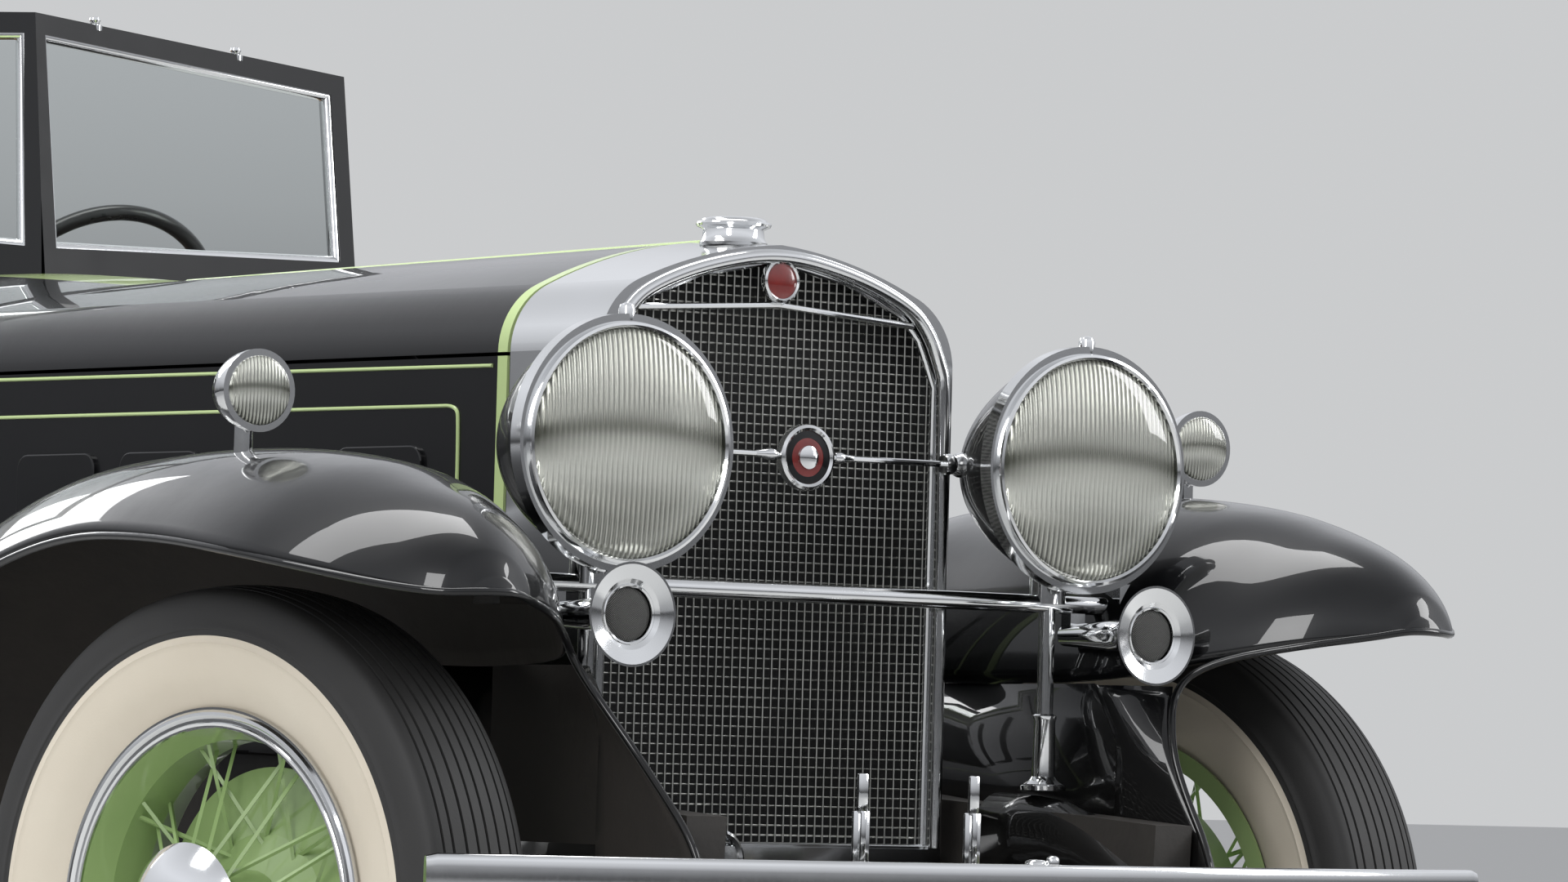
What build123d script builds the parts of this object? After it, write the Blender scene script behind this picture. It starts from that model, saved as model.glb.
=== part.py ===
from build123d import *
import math
import os

# Open four-door touring car of about 1930, top folded, front wheels turned to the car's left.
# Frame: +X is the car's left, the car faces -Y, +Z is up, the tyres stand on Z = 0,
# and X = Y = 0 is the middle of the car's overall length and width. Millimetres.

os.makedirs("parts", exist_ok=True)

# Overall sizes
wheelbase = 3759.0
front_overhang = 680.0
rear_overhang = 1210.0
overall_length = front_overhang + wheelbase + rear_overhang
front_axle_y = front_overhang - overall_length / 2
rear_axle_y = front_axle_y + wheelbase
fender_half_width = 930.0

# Clearances
seat_gap = 0.3
running_gap = 0.05
door_gap = 6.0
panel_gap = 5.0

# Wheels and tyres
tyre_radius = 415.0
tyre_half_width = 89.0
bead_radius = 242.0
rim_flange_radius = 262.0
rim_half_width = 66.0
rim_wall = 5.0
spokes_per_ring = 20
spoke_radius = 3.2
hub_radius = 62.0
hub_cap_radius = 95.0
hub_cap_face = 144.0
hub_inner_face = -46.0
drum_radius = 190.0
drum_depth = 52.0
drum_wall = 8.0
spindle_radius = 20.0
spindle_length = 60.0
front_half_track = 750.0
rear_half_track = 765.0
hub_height = tyre_radius

# Steering
steer_at_rest = 12.0
kingpin_half_track = 590.0
kingpin_radius = 12.0
kingpin_boss_radius = 26.0
kingpin_boss_height = 64.0
knuckle_lug_height = 22.0
steering_arm_length = 150.0
steering_arm_drop = 55.0
tie_rod_radius = 11.0
ball_pin_radius = 8.0

# Chassis
rail_front_x = 368.0
rail_rear_x = 490.0
rail_width = 60.0
rail_height = 110.0
rail_top_z = 620.0
spring_width = 58.0
axle_beam_height = 56.0
axle_beam_width = 44.0
axle_beam_drop = 52.0
rear_axle_tube_radius = 45.0

# Spare wheel, upright behind the tank
spare_y = front_axle_y + 4800.0
spare_z = 850.0

# Steering column, leaning back to the driver
steering_wheel_x = 345.0
steering_wheel_y = front_axle_y + 2270.0
steering_wheel_z = 1290.0
steering_wheel_radius = 212.0
column_lean = 30.0
column_length = 1250.0
column_radius = 20.0

# Body and hood, heights above the ground
seam_z = 1150.0
ridge_z = 1312.0
shoulder_inset = 58.0
shoulder_rise = 92.0
crown_share = 0.38
belt_z = 1172.0
cowl_top_z = 1345.0
sill_z = 560.0
door_bottom_z = 604.0
hood_bottom_z = 640.0
hood_front_half_width = 300.0
hood_rear_half_width = 440.0
hood_front_y = front_axle_y + 92.0
hood_rear_y = front_axle_y + 1400.0
hood_sheet = 4.0
door_thickness = 34.0
windscreen_centre_y = front_axle_y + 1842.0
windscreen_post_y = front_axle_y + 1985.0
body_half_width = 690.0

# Radiator
radiator_half_width = 284.0
radiator_front_y = front_axle_y - 90.0
radiator_peak_z = 1300.0
radiator_bottom_z = 498.0
radiator_wall = 20.0
screen_depth = 16.0

# Lamps and horns
headlamp_x = 367.0
headlamp_z = 1020.0
headlamp_face_y = front_axle_y - 280.0
headlamp_radius = 162.0
headlamp_lens_radius = 145.0
headlamp_depth = 235.0
fender_lamp_x = 757.0
fender_lamp_z = 1072.0
fender_lamp_radius = 52.0
fender_lamp_face_y = front_axle_y - 36
horn_x = 415.0
horn_z = 805.0
horn_face_y = front_axle_y - 370.0
horn_bell_radius = 65.0
horn_cup_radius = 34.0
horn_cup_depth = 26.0
lamp_bar_z = 845.0
lamp_bar_y = front_axle_y - 200.0
lamp_bar_radius = 12.0


def cross(y):
    """The upright plane across the car at this y: its own x and y are the car's X and Z."""
    return Plane.XZ.offset(-y)


def side(x):
    """The upright plane along the car at this x: its own x and y are the car's Y and Z."""
    return Plane.YZ.offset(x)


def level(z):
    """The level plane at this height."""
    return Plane.XY.offset(z)


def write(shape, name):
    """Labels a finished piece and writes its STEP file."""
    shape.label = name
    export_step(shape, f"parts/{name}.step")


# Tyre, modelled about the X axis at the origin, the car's outer side towards +X
with BuildPart() as tyre:
    with BuildSketch(Plane.XZ):
        with BuildLine():
            Line((-60, bead_radius + seat_gap), (60, bead_radius + seat_gap))
            Line((60, bead_radius + seat_gap), (62, rim_flange_radius + 4))
            ThreePointArc((62, rim_flange_radius + 4), (tyre_half_width, 330), (70, 396))
            ThreePointArc((70, 396), (0, tyre_radius), (-70, 396))
            ThreePointArc((-70, 396), (-tyre_half_width, 330), (-62, rim_flange_radius + 4))
            Line((-62, rim_flange_radius + 4), (-60, bead_radius + seat_gap))
        make_face()
    revolve(axis=Axis.X)

# Wire wheel: rim, laced spokes, hub shell and brake drum in one piece, outer side towards +X
hub_flanges = [
    # x at the hub, x at the rim, ring radius, twist in degrees
    (88.0, -24.0, 62.0, 22.0),
    (80.0, -14.0, 56.0, -22.0),
    (-22.0, 16.0, 84.0, 26.0),
    (-30.0, 24.0, 92.0, -26.0),
]
rim_seat_radius = bead_radius - rim_wall
rim_well_radius = rim_seat_radius - 11
with BuildPart() as wheel:
    with BuildSketch(Plane.XZ):
        with BuildLine():
            Polyline(
                (-rim_half_width - rim_wall, rim_flange_radius),
                (-rim_half_width - rim_wall, rim_seat_radius),
                (-28, rim_seat_radius - 14),
                (28, rim_seat_radius - 14),
                (rim_half_width + rim_wall, rim_seat_radius),
                (rim_half_width + rim_wall, rim_flange_radius),
                (rim_half_width, rim_flange_radius),
                (rim_half_width, bead_radius),
                (-rim_half_width, bead_radius),
                (-rim_half_width, rim_flange_radius),
                (-rim_half_width - rim_wall, rim_flange_radius),
            )
        make_face()
    revolve(axis=Axis.X)
    with BuildSketch(Plane.XZ):
        with BuildLine():
            Polyline(
                (hub_inner_face, spindle_radius + running_gap),
                (hub_inner_face, 150),
                (hub_inner_face - drum_depth, 150),
                (hub_inner_face - drum_depth, drum_radius),
                (hub_inner_face + drum_wall, drum_radius),
                (hub_inner_face + 22, 108),
                (0, hub_radius),
                (78, hub_radius),
                (92, 74),
                (108, 78),
                (112, hub_cap_radius),
            )
            ThreePointArc((112, hub_cap_radius), (134, 62), (hub_cap_face, 12))
            Polyline(
                (hub_cap_face, 12),
                (hub_cap_face, 0),
                (spindle_length + 1, 0),
                (spindle_length + 1, spindle_radius + running_gap),
                (hub_inner_face, spindle_radius + running_gap),
            )
        make_face()
    revolve(axis=Axis.X)
    for flange_x, rim_x, flange_radius, twist in hub_flanges:
        for turn in range(spokes_per_ring // 2):
            angle = math.radians(turn * 720 / spokes_per_ring + twist / 2)
            rim_angle = angle + math.radians(twist)
            start = Vector(flange_x, flange_radius * math.cos(angle), flange_radius * math.sin(angle))
            end = Vector(rim_x, rim_well_radius * math.cos(rim_angle), rim_well_radius * math.sin(rim_angle))
            with BuildSketch(Plane(origin=start, z_dir=end - start)):
                RegularPolygon(spoke_radius, 4)
        extrude(amount=(end - start).length)


def set_wheel(name, x, y, outward, steer):
    """Writes a wheel and its tyre with their centre at x, y; outward is 1 on the car's left."""
    turn = steer if outward > 0 else steer + 180
    place = Location((x, y, hub_height), (0, 0, turn))
    write(place * wheel.part, f"wheel_{name}")
    write(place * tyre.part, f"tyre_{name}")


def turned(point_x, point_y, pivot_x, pivot_y, angle):
    """A point in plan after a turn about a pivot, in degrees."""
    c = math.cos(math.radians(angle))
    s = math.sin(math.radians(angle))
    dx = point_x - pivot_x
    dy = point_y - pivot_y
    return pivot_x + c * dx - s * dy, pivot_y + s * dx + c * dy


for side_name, sign in (("left", 1), ("right", -1)):
    hub_x, hub_y = turned(
        sign * front_half_track, front_axle_y, sign * kingpin_half_track, front_axle_y, steer_at_rest
    )
    set_wheel(f"front_{side_name}", hub_x, hub_y, sign, steer_at_rest)
    set_wheel(f"rear_{side_name}", sign * rear_half_track, rear_axle_y, sign, 0)

# Steering knuckles: kingpin, yoke, spindle, brake plate and arm, straight ahead, then turned
spindle_tip = front_half_track - kingpin_half_track + spindle_length
brake_plate_x = front_half_track - kingpin_half_track + hub_inner_face - drum_depth - 6
yoke_reach = kingpin_boss_height / 2 + seat_gap + knuckle_lug_height
arm_z = hub_height - steering_arm_drop
with BuildPart() as knuckle:
    with Locations((0, 0, hub_height)):
        Cylinder(kingpin_radius, 2 * yoke_reach)
    with Locations((0, 0, hub_height + yoke_reach - knuckle_lug_height / 2),
                   (0, 0, hub_height - yoke_reach + knuckle_lug_height / 2)):
        Cylinder(kingpin_boss_radius, knuckle_lug_height)
    with Locations((kingpin_boss_radius + 10, 0, hub_height)):
        Box(14, 46, 2 * yoke_reach)
    with Locations((kingpin_boss_radius / 2 + 4, 0, hub_height + yoke_reach - knuckle_lug_height / 2),
                   (kingpin_boss_radius / 2 + 4, 0, hub_height - yoke_reach + knuckle_lug_height / 2)):
        Box(kingpin_boss_radius + 8, 46, knuckle_lug_height)
    with BuildSketch(side(kingpin_boss_radius + 8)):
        with Locations((0, hub_height)):
            Circle(spindle_radius)
    extrude(amount=spindle_tip - kingpin_boss_radius - 8)
    with BuildSketch(side(brake_plate_x)):
        with Locations((0, hub_height)):
            Circle(drum_radius - 4)
    extrude(amount=-8)
    with BuildSketch(side(brake_plate_x)):
        with Locations((0, hub_height)):
            Circle(42)
    extrude(amount=kingpin_boss_radius - brake_plate_x + 8)
    with Locations((6, steering_arm_length / 2, arm_z)):
        Box(22, steering_arm_length, 16)
    with Locations((0, steering_arm_length, arm_z)):
        Cylinder(18, 16)
        Cylinder(ball_pin_radius, 60, align=(Align.CENTER, Align.CENTER, Align.MAX))
mirrored_knuckle = mirror(knuckle.part, about=Plane.YZ)
write(Location((kingpin_half_track, front_axle_y, 0), (0, 0, steer_at_rest)) * knuckle.part, "knuckle_left")
write(Location((-kingpin_half_track, front_axle_y, 0), (0, 0, steer_at_rest)) * mirrored_knuckle,
      "knuckle_right")

# Tie rod between the two arms
tie_z = arm_z - 8 - seat_gap - 17
left_ball_x, ball_y = turned(
    kingpin_half_track, front_axle_y + steering_arm_length, kingpin_half_track, front_axle_y, steer_at_rest
)
right_ball_x = left_ball_x - 2 * kingpin_half_track
with BuildPart() as tie_rod:
    with BuildSketch(side(right_ball_x)):
        with Locations((ball_y, tie_z)):
            Circle(tie_rod_radius)
    extrude(amount=left_ball_x - right_ball_x)
    with Locations((left_ball_x, ball_y, tie_z), (right_ball_x, ball_y, tie_z)):
        Cylinder(20, 34)
    with Locations((left_ball_x, ball_y, tie_z), (right_ball_x, ball_y, tie_z)):
        Hole(ball_pin_radius + running_gap)
write(tie_rod.part, "tie_rod")

# Axles: forged front beam and rear axle with its differential and drive shaft
beam_half = kingpin_half_track - kingpin_boss_radius + 6
with BuildPart() as axles:
    with BuildSketch(cross(front_axle_y)):
        with BuildLine() as beam_line:
            Polyline(
                (-beam_half, hub_height), (-beam_half + 20, hub_height), (-480, hub_height - axle_beam_drop),
                (480, hub_height - axle_beam_drop),
                (beam_half - 20, hub_height), (beam_half, hub_height),
            )
        trace(line_width=axle_beam_height)
    extrude(amount=axle_beam_width / 2, both=True)
    with Locations((kingpin_half_track, front_axle_y, hub_height), (-kingpin_half_track, front_axle_y, hub_height)):
        Cylinder(kingpin_boss_radius, kingpin_boss_height)
    with Locations((kingpin_half_track, front_axle_y, hub_height), (-kingpin_half_track, front_axle_y, hub_height)):
        Hole(kingpin_radius + running_gap)
    rear_plate = rear_half_track + hub_inner_face - drum_depth - 6
    with BuildSketch(side(-rear_plate)):
        with Locations((rear_axle_y, hub_height)):
            Circle(rear_axle_tube_radius)
    extrude(amount=2 * rear_plate)
    with BuildSketch(side(-rear_half_track - spindle_length)):
        with Locations((rear_axle_y, hub_height)):
            Circle(spindle_radius)
    extrude(amount=2 * (rear_half_track + spindle_length))
    for sign in (-1, 1):
        with BuildSketch(side(sign * rear_plate)):
            with Locations((rear_axle_y, hub_height)):
                Circle(drum_radius - 4)
        extrude(amount=-sign * 8)
    with Locations((0, rear_axle_y, hub_height)):
        Sphere(150)
    drive_shaft_front_y = front_axle_y + 1650
    with BuildSketch(cross(rear_axle_y)):
        with Locations((0, hub_height)):
            Circle(38)
    extrude(amount=rear_axle_y - drive_shaft_front_y)
write(axles.part, "axles")

# Chassis frame: tapered side rails with front horns and a rise over the rear axle
rail_side_points = [
    # y from the front axle, z of the rail's middle
    (-470, 505),
    (-300, 515),
    (0, 530),
    (400, rail_top_z - rail_height / 2),
    (3980, rail_top_z - rail_height / 2),
    (4320, 550),
    (4780, 540),
]
rail_plan_points = [
    # y from the front axle, x of the rail's middle
    (-560, rail_front_x),
    (620, rail_front_x),
    (1900, rail_rear_x),
    (4860, rail_rear_x),
]
with BuildPart() as rail_left:
    with BuildSketch(side(0)):
        with BuildLine():
            Polyline(*[(front_axle_y + y, z) for y, z in rail_side_points])
        trace(line_width=rail_height)
    extrude(amount=620)
    with BuildSketch(level(300)):
        with BuildLine():
            Polyline(*[(x, front_axle_y + y) for y, x in rail_plan_points])
        trace(line_width=rail_width)
    extrude(amount=500, mode=Mode.INTERSECT)

spring_seat_z = hub_height - axle_beam_drop + axle_beam_height / 2
spring_half_span = 470.0
leaf_thickness = 11.0
leaf_count = 4
spring_eye_z = spring_seat_z + seat_gap + leaf_count * leaf_thickness + 8
cross_members = [
    # y from the front axle, z of the middle, half length
    (-10, 467.7, rail_front_x),
    (1500, 560, 460),
    (2650, 560, rail_rear_x),
    (4200, 590, rail_rear_x),
    (4660, 542, rail_rear_x),
]
with BuildPart() as chassis_frame:
    add(rail_left.part)
    mirror(about=Plane.YZ)
    for y, z, half_length in cross_members:
        with Locations((0, front_axle_y + y, z)):
            Box(2 * half_length, 70, 60)
    for sign in (-1, 1):
        for y in (-spring_half_span + 20, spring_half_span - 20):
            with Locations((sign * rail_front_x, front_axle_y + y, spring_eye_z + seat_gap)):
                Box(spring_width, 40, 60, align=(Align.CENTER, Align.CENTER, Align.MIN))
    with Locations((0, spare_y + hub_inner_face - drum_depth - 30, (spare_z + 512) / 2 + 20)):
        Box(120, 48, spare_z - 512 + 40)
    with BuildSketch(cross(spare_y + hub_inner_face - drum_depth - 20)):
        with Locations((0, spare_z)):
            Circle(spindle_radius)
    extrude(amount=-(drum_depth - hub_inner_face + 20 + spindle_length))
write(chassis_frame.part, "chassis_frame")

# Engine and gearbox as one plain block, resting on the rails by its bearer arms
with BuildPart() as engine_block:
    with Locations((0, front_axle_y + 760, 860)):
        Box(440, 1080, 560)
    with Locations((0, front_axle_y + 760, 520)):
        Box(300, 960, 130)
    with Locations((0, front_axle_y + 1245, 610)):
        Box(280, 290, 260)
    with Locations((0, front_axle_y + 560, 560)):
        Box(2 * (rail_front_x - rail_width / 2), 70, 50)
write(engine_block.part, "engine_block")

# Leaf springs, one arched pack over each front and under each rear end of the axles
spring_table = [
    # x, axle y, half span, z of the seat on the axle, rise to the eyes
    (rail_front_x, front_axle_y, spring_half_span, spring_seat_z, 8.0),
    (rail_rear_x + rail_width / 2 + spring_width / 2 + seat_gap, rear_axle_y, 640.0,
     hub_height + rear_axle_tube_radius, 60.0),
]
with BuildPart() as leaf_springs:
    for x, y, half_span, seat_z, rise in spring_table:
        for sign in (-1, 1):
            for leaf in range(leaf_count):
                reach = half_span * (1 - 0.2 * (leaf_count - 1 - leaf))
                lift = rise * (reach / half_span) ** 2
                low = seat_z + seat_gap + leaf_thickness * leaf
                high = low + leaf_thickness
                with BuildSketch(side(sign * x - spring_width / 2)):
                    with BuildLine():
                        ThreePointArc((y - reach, high + lift), (y, high), (y + reach, high + lift))
                        Line((y + reach, high + lift), (y + reach, low + lift))
                        ThreePointArc((y + reach, low + lift), (y, low), (y - reach, low + lift))
                        Line((y - reach, low + lift), (y - reach, high + lift))
                    make_face()
                extrude(amount=spring_width)
write(leaf_springs.part, "leaf_springs")


def radiator_outline(y, inset, peak_z, half_width, bottom_z):
    """A front outline of the radiator at y: upright sides, round shoulders and a low gable."""
    x = half_width - inset
    top = peak_z - inset
    shoulder_x = x - shoulder_inset
    shoulder_z = seam_z + shoulder_rise - inset
    crown_z = top - (top - shoulder_z) * crown_share
    with BuildSketch(cross(y)) as outline:
        with BuildLine():
            Line((-x, bottom_z + inset), (x, bottom_z + inset))
            Line((x, bottom_z + inset), (x, seam_z))
            TangentArc([(x, seam_z), (shoulder_x, shoulder_z)], tangent=(0, 1))
            ThreePointArc((shoulder_x, shoulder_z), (x * 0.45, crown_z), (0, top))
            ThreePointArc((0, top), (-x * 0.45, crown_z), (-shoulder_x, shoulder_z))
            TangentArc([(-x, seam_z), (-shoulder_x, shoulder_z)], tangent=(0, 1))
            Line((-x, seam_z), (-x, bottom_z + inset))
        make_face()
    return outline.sketch


def radiator_opening(y, inset):
    """The outline of what sits inside the radiator shell."""
    return radiator_outline(y, radiator_wall + inset, radiator_peak_z, radiator_half_width, radiator_bottom_z)


shell_depth = hood_front_y - radiator_front_y
with BuildPart() as radiator_shell:
    loft([
        radiator_outline(radiator_front_y, 0, radiator_peak_z, radiator_half_width, radiator_bottom_z),
        radiator_outline(hood_front_y - 2, 0, ridge_z, hood_front_half_width, radiator_bottom_z),
    ], ruled=True)
    extrude(radiator_opening(radiator_front_y, 0), amount=-shell_depth - 10, mode=Mode.SUBTRACT)
write(radiator_shell.part, "radiator_shell")

with BuildPart() as radiator_core:
    extrude(radiator_opening(radiator_front_y + 50, seat_gap), amount=-100)
write(radiator_core.part, "radiator_core")

# Screen of crossed wires in a thin frame, set back in the shell
screen_y = radiator_front_y + 14
screen_half = radiator_half_width - radiator_wall - 6
wire = 3.0
wire_pitch = 25.4
with BuildPart() as screen_wires:
    for column in range(-9, 10):
        with Locations((column * wire_pitch, screen_y + 4, 900)):
            Box(wire, wire, 1000)
    for row in range(-15, 16):
        with Locations((0, screen_y + 9, 900 + row * wire_pitch)):
            Box(2 * screen_half, wire, wire)
    extrude(radiator_opening(screen_y, 4), amount=-screen_depth, mode=Mode.INTERSECT)
with BuildPart() as radiator_screen:
    extrude(radiator_opening(screen_y, seat_gap), amount=-screen_depth)
    extrude(radiator_opening(screen_y, 9), amount=-screen_depth, mode=Mode.SUBTRACT)
    add(screen_wires.part)
write(radiator_screen.part, "radiator_screen")

with BuildPart() as radiator_cap:
    cap_z = ridge_z - 10
    with Locations((0, front_axle_y + 20, cap_z)):
        Cylinder(38, 30, align=(Align.CENTER, Align.CENTER, Align.MIN))
    with Locations((0, front_axle_y + 20, cap_z + 30)):
        Cylinder(50, 10, align=(Align.CENTER, Align.CENTER, Align.MIN))
    add(radiator_shell.part, mode=Mode.SUBTRACT)
write(radiator_cap.part, "radiator_cap")

# Front bumper: two bowed bars on two arms, with a pair of slotted plate brackets
bumper_bars = [
    # z of the middle, height
    (478.0, 66.0),
    (385.0, 62.0),
]
bumper_half = 824.0
bumper_thick = 14.0
bumper_bow = 130.0
bumper_face_y = front_axle_y - front_overhang
with BuildPart() as front_bumper:
    for z, height in bumper_bars:
        with BuildSketch(level(z - height / 2)):
            with BuildLine():
                ThreePointArc((-bumper_half, bumper_face_y + bumper_bow), (0, bumper_face_y),
                              (bumper_half, bumper_face_y + bumper_bow))
                Line((bumper_half, bumper_face_y + bumper_bow), (bumper_half, bumper_face_y + bumper_bow + bumper_thick))
                ThreePointArc((bumper_half, bumper_face_y + bumper_bow + bumper_thick),
                              (0, bumper_face_y + bumper_thick),
                              (-bumper_half, bumper_face_y + bumper_bow + bumper_thick))
                Line((-bumper_half, bumper_face_y + bumper_bow + bumper_thick), (-bumper_half, bumper_face_y + bumper_bow))
            make_face()
        extrude(amount=height)
    for sign in (-1, 1):
        with Locations((sign * rail_front_x, bumper_face_y + 110, 440)):
            Box(50, 180, 70)
        with Locations((sign * rail_front_x, bumper_face_y + 36, 431)):
            Box(60, 12, 150)
        with Locations((sign * 98, bumper_face_y + 8, 532)):
            Box(26, 5, 116)
write(front_bumper.part, "front_bumper")

rear_bumper_face_y = rear_axle_y + rear_overhang
rail_end_y = front_axle_y + 4780
with BuildPart() as rear_bumper:
    for z, height in bumper_bars:
        with BuildSketch(level(z - height / 2)):
            with BuildLine():
                ThreePointArc((-bumper_half, rear_bumper_face_y - bumper_bow), (0, rear_bumper_face_y),
                              (bumper_half, rear_bumper_face_y - bumper_bow))
                Line((bumper_half, rear_bumper_face_y - bumper_bow),
                     (bumper_half, rear_bumper_face_y - bumper_bow - bumper_thick))
                ThreePointArc((bumper_half, rear_bumper_face_y - bumper_bow - bumper_thick),
                              (0, rear_bumper_face_y - bumper_thick),
                              (-bumper_half, rear_bumper_face_y - bumper_bow - bumper_thick))
                Line((-bumper_half, rear_bumper_face_y - bumper_bow - bumper_thick),
                     (-bumper_half, rear_bumper_face_y - bumper_bow))
            make_face()
        extrude(amount=height)
    for sign in (-1, 1):
        with Locations((sign * rail_rear_x, rail_end_y + 0.3, 500)):
            Box(50, rear_bumper_face_y - 56 - rail_end_y, 70, align=(Align.CENTER, Align.MIN, Align.CENTER))
        with Locations((sign * rail_rear_x, rear_bumper_face_y - 62, 431)):
            Box(60, 12, 150)
write(rear_bumper.part, "rear_bumper")

# Headlamps: bowl, rim and lens about one axis along the car
with BuildPart() as headlamp_shells:
    with BuildSketch(side(0)):
        with BuildLine():
            Polyline((headlamp_face_y + 22, headlamp_z), (headlamp_face_y + 22, headlamp_z + headlamp_radius - 8))
            ThreePointArc((headlamp_face_y + 22, headlamp_z + headlamp_radius - 8),
                          (headlamp_face_y + headlamp_depth * 0.62, headlamp_z + headlamp_radius * 0.62),
                          (headlamp_face_y + headlamp_depth, headlamp_z + 16))
            Polyline((headlamp_face_y + headlamp_depth, headlamp_z + 16), (headlamp_face_y + headlamp_depth, headlamp_z),
                     (headlamp_face_y + 22, headlamp_z))
        make_face()
    revolve(axis=Axis((0, 0, headlamp_z), (0, 1, 0)))
bowl = headlamp_shells.part
headlamp_pair = Compound([Location((headlamp_x, 0, 0)) * bowl, Location((-headlamp_x, 0, 0)) * bowl])
write(headlamp_pair, "headlamp_shells")

with BuildPart() as headlamp_rim:
    with BuildSketch(cross(headlamp_face_y)):
        with Locations((0, headlamp_z)):
            Circle(headlamp_radius)
            Circle(headlamp_lens_radius, mode=Mode.SUBTRACT)
    extrude(amount=-21.7)
rim_pair = headlamp_rim.part
write(Compound([Location((headlamp_x, 0, 0)) * rim_pair, Location((-headlamp_x, 0, 0)) * rim_pair]), "headlamp_rims")

with BuildPart() as headlamp_lens:
    with BuildSketch(cross(headlamp_face_y + 4)):
        with Locations((0, headlamp_z)):
            Circle(headlamp_lens_radius - seat_gap)
    extrude(amount=-10)
with BuildPart() as fender_lamp_lens:
    with BuildSketch(cross(fender_lamp_face_y - seat_gap)):
        with Locations((0, fender_lamp_z)):
            Circle(fender_lamp_radius - 8)
    extrude(amount=5)
lens_list = []
for sign in (-1, 1):
    lens_list.append(Location((sign * headlamp_x, 0, 0)) * headlamp_lens.part)
    lens_list.append(Location((sign * fender_lamp_x, 0, 0)) * fender_lamp_lens.part)
write(Compound(lens_list), "lamp_lenses")

with BuildPart() as horn:
    with BuildSketch(side(0)):
        with BuildLine():
            Polyline(
                (horn_face_y + horn_cup_depth, horn_z), (horn_face_y + horn_cup_depth, horn_z + horn_cup_radius),
                (horn_face_y + 8, horn_z + horn_cup_radius + 3), (horn_face_y + 4, horn_z + horn_cup_radius + 10),
                (horn_face_y, horn_z + horn_bell_radius - 3), (horn_face_y, horn_z + horn_bell_radius),
            )
            ThreePointArc((horn_face_y, horn_z + horn_bell_radius), (horn_face_y + 34, horn_z + 34),
                          (horn_face_y + 90, horn_z + 20))
            Line((horn_face_y + 90, horn_z + 20), (horn_face_y + 190, horn_z + 14))
            Line((horn_face_y + 190, horn_z + 14), (horn_face_y + 190, horn_z))
            Line((horn_face_y + 190, horn_z), (horn_face_y + horn_cup_depth, horn_z))
        make_face()
    revolve(axis=Axis((0, 0, horn_z), (0, 1, 0)))
horn_pair = Compound([Location((horn_x, 0, 0)) * horn.part, Location((-horn_x, 0, 0)) * horn.part])
write(horn_pair, "horns")

# Front fenders: one crowned skin each, from the rounded nose over the wheel to the running board
fender_skin = 5.0
valance_x = 410.0
rail_outer_x = rail_front_x + rail_width / 2
front_fender_stations = [
    # y from the front axle, outer lip x and z, crown x and z, inner edge x and z
    (-536, 760, 820, 730, 836, 698, 820),
    (-516, 796, 818, 738, 872, 664, 812),
    (-456, 846, 827, 742, 916, 590, 798),
    (-368, 896, 845, 740, 951, 515, 776),
    (-250, 925, 864, 730, 982, 440, 750),
    (-60, fender_half_width, 884, 722, 1000, valance_x, 740),
    (150, fender_half_width, 886, 720, 998, valance_x, 740),
    (380, fender_half_width, 835, 718, 975, valance_x, 720),
    (600, 926, 745, 714, 893, valance_x, 668),
    (830, 918, 600, 708, 742, 450, 580),
    (1040, 908, 475, 715, 570, 520, 500),
    (1230, 900, 405, 750, 436, 600, 426),
]
running_board_front_y = front_axle_y + 1230


def fender_section(y, lip, crown, inner):
    """One cross-section of a fender skin: two arcs a skin's thickness apart."""
    with BuildSketch(cross(y)) as section:
        with BuildLine():
            ThreePointArc(lip, crown, inner)
            Line(inner, (inner[0], inner[1] - fender_skin))
            ThreePointArc((inner[0], inner[1] - fender_skin), (crown[0], crown[1] - fender_skin),
                          (lip[0] - 1, lip[1] - fender_skin))
            Line((lip[0] - 1, lip[1] - fender_skin), lip)
        make_face()
    return section.sketch


with BuildPart() as front_fender:
    loft([
        fender_section(front_axle_y + y, (lip_x, lip_z), (crown_x, crown_z), (inner_x, inner_z))
        for y, lip_x, lip_z, crown_x, crown_z, inner_x, inner_z in front_fender_stations
    ])
valance_edge = [
    # z, y where the plate leaves the flat valance, x and y of its leading edge
    (520, -300, 404, -505),
    (600, -300, 418, -432),
    (662, -300, 436, -380),
    (740, -250, 474, -334),
]


def edge_section(z, root_y, edge_x, edge_y):
    """One level of the plate between the flat valance and its leading edge."""
    with BuildSketch(level(z)) as section:
        with BuildLine():
            Polyline(
                (valance_x + 2, front_axle_y + root_y), (valance_x - 4, front_axle_y + root_y),
                (edge_x - 3, front_axle_y + edge_y), (edge_x + 3, front_axle_y + edge_y - 2), close=True,
            )
        make_face()
    return section.sketch


with BuildPart() as front_fender_whole:
    add(front_fender.part)
    loft([edge_section(*row) for row in valance_edge], ruled=True)
    with BuildSketch(side(valance_x - 4)):
        with BuildLine():
            Polyline(
                (front_axle_y - 250, 740), (front_axle_y - 300, 662), (front_axle_y - 300, 520),
                (front_axle_y + 560, 520), (front_axle_y + 600, 560),
                (front_axle_y + 600, 661), (front_axle_y + 380, 713), (front_axle_y + 150, 736),
                (front_axle_y - 60, 738), (front_axle_y - 250, 740),
            )
        make_face()
    extrude(amount=6)
    with Locations((rail_outer_x + seat_gap, front_axle_y + 60, 540)):
        Box(valance_x - rail_outer_x - seat_gap, 900, 14, align=(Align.MIN, Align.CENTER, Align.CENTER))
front_fender_pair = Compound([front_fender_whole.part, mirror(front_fender_whole.part, about=Plane.YZ)])
write(front_fender_pair, "front_fenders")

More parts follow.
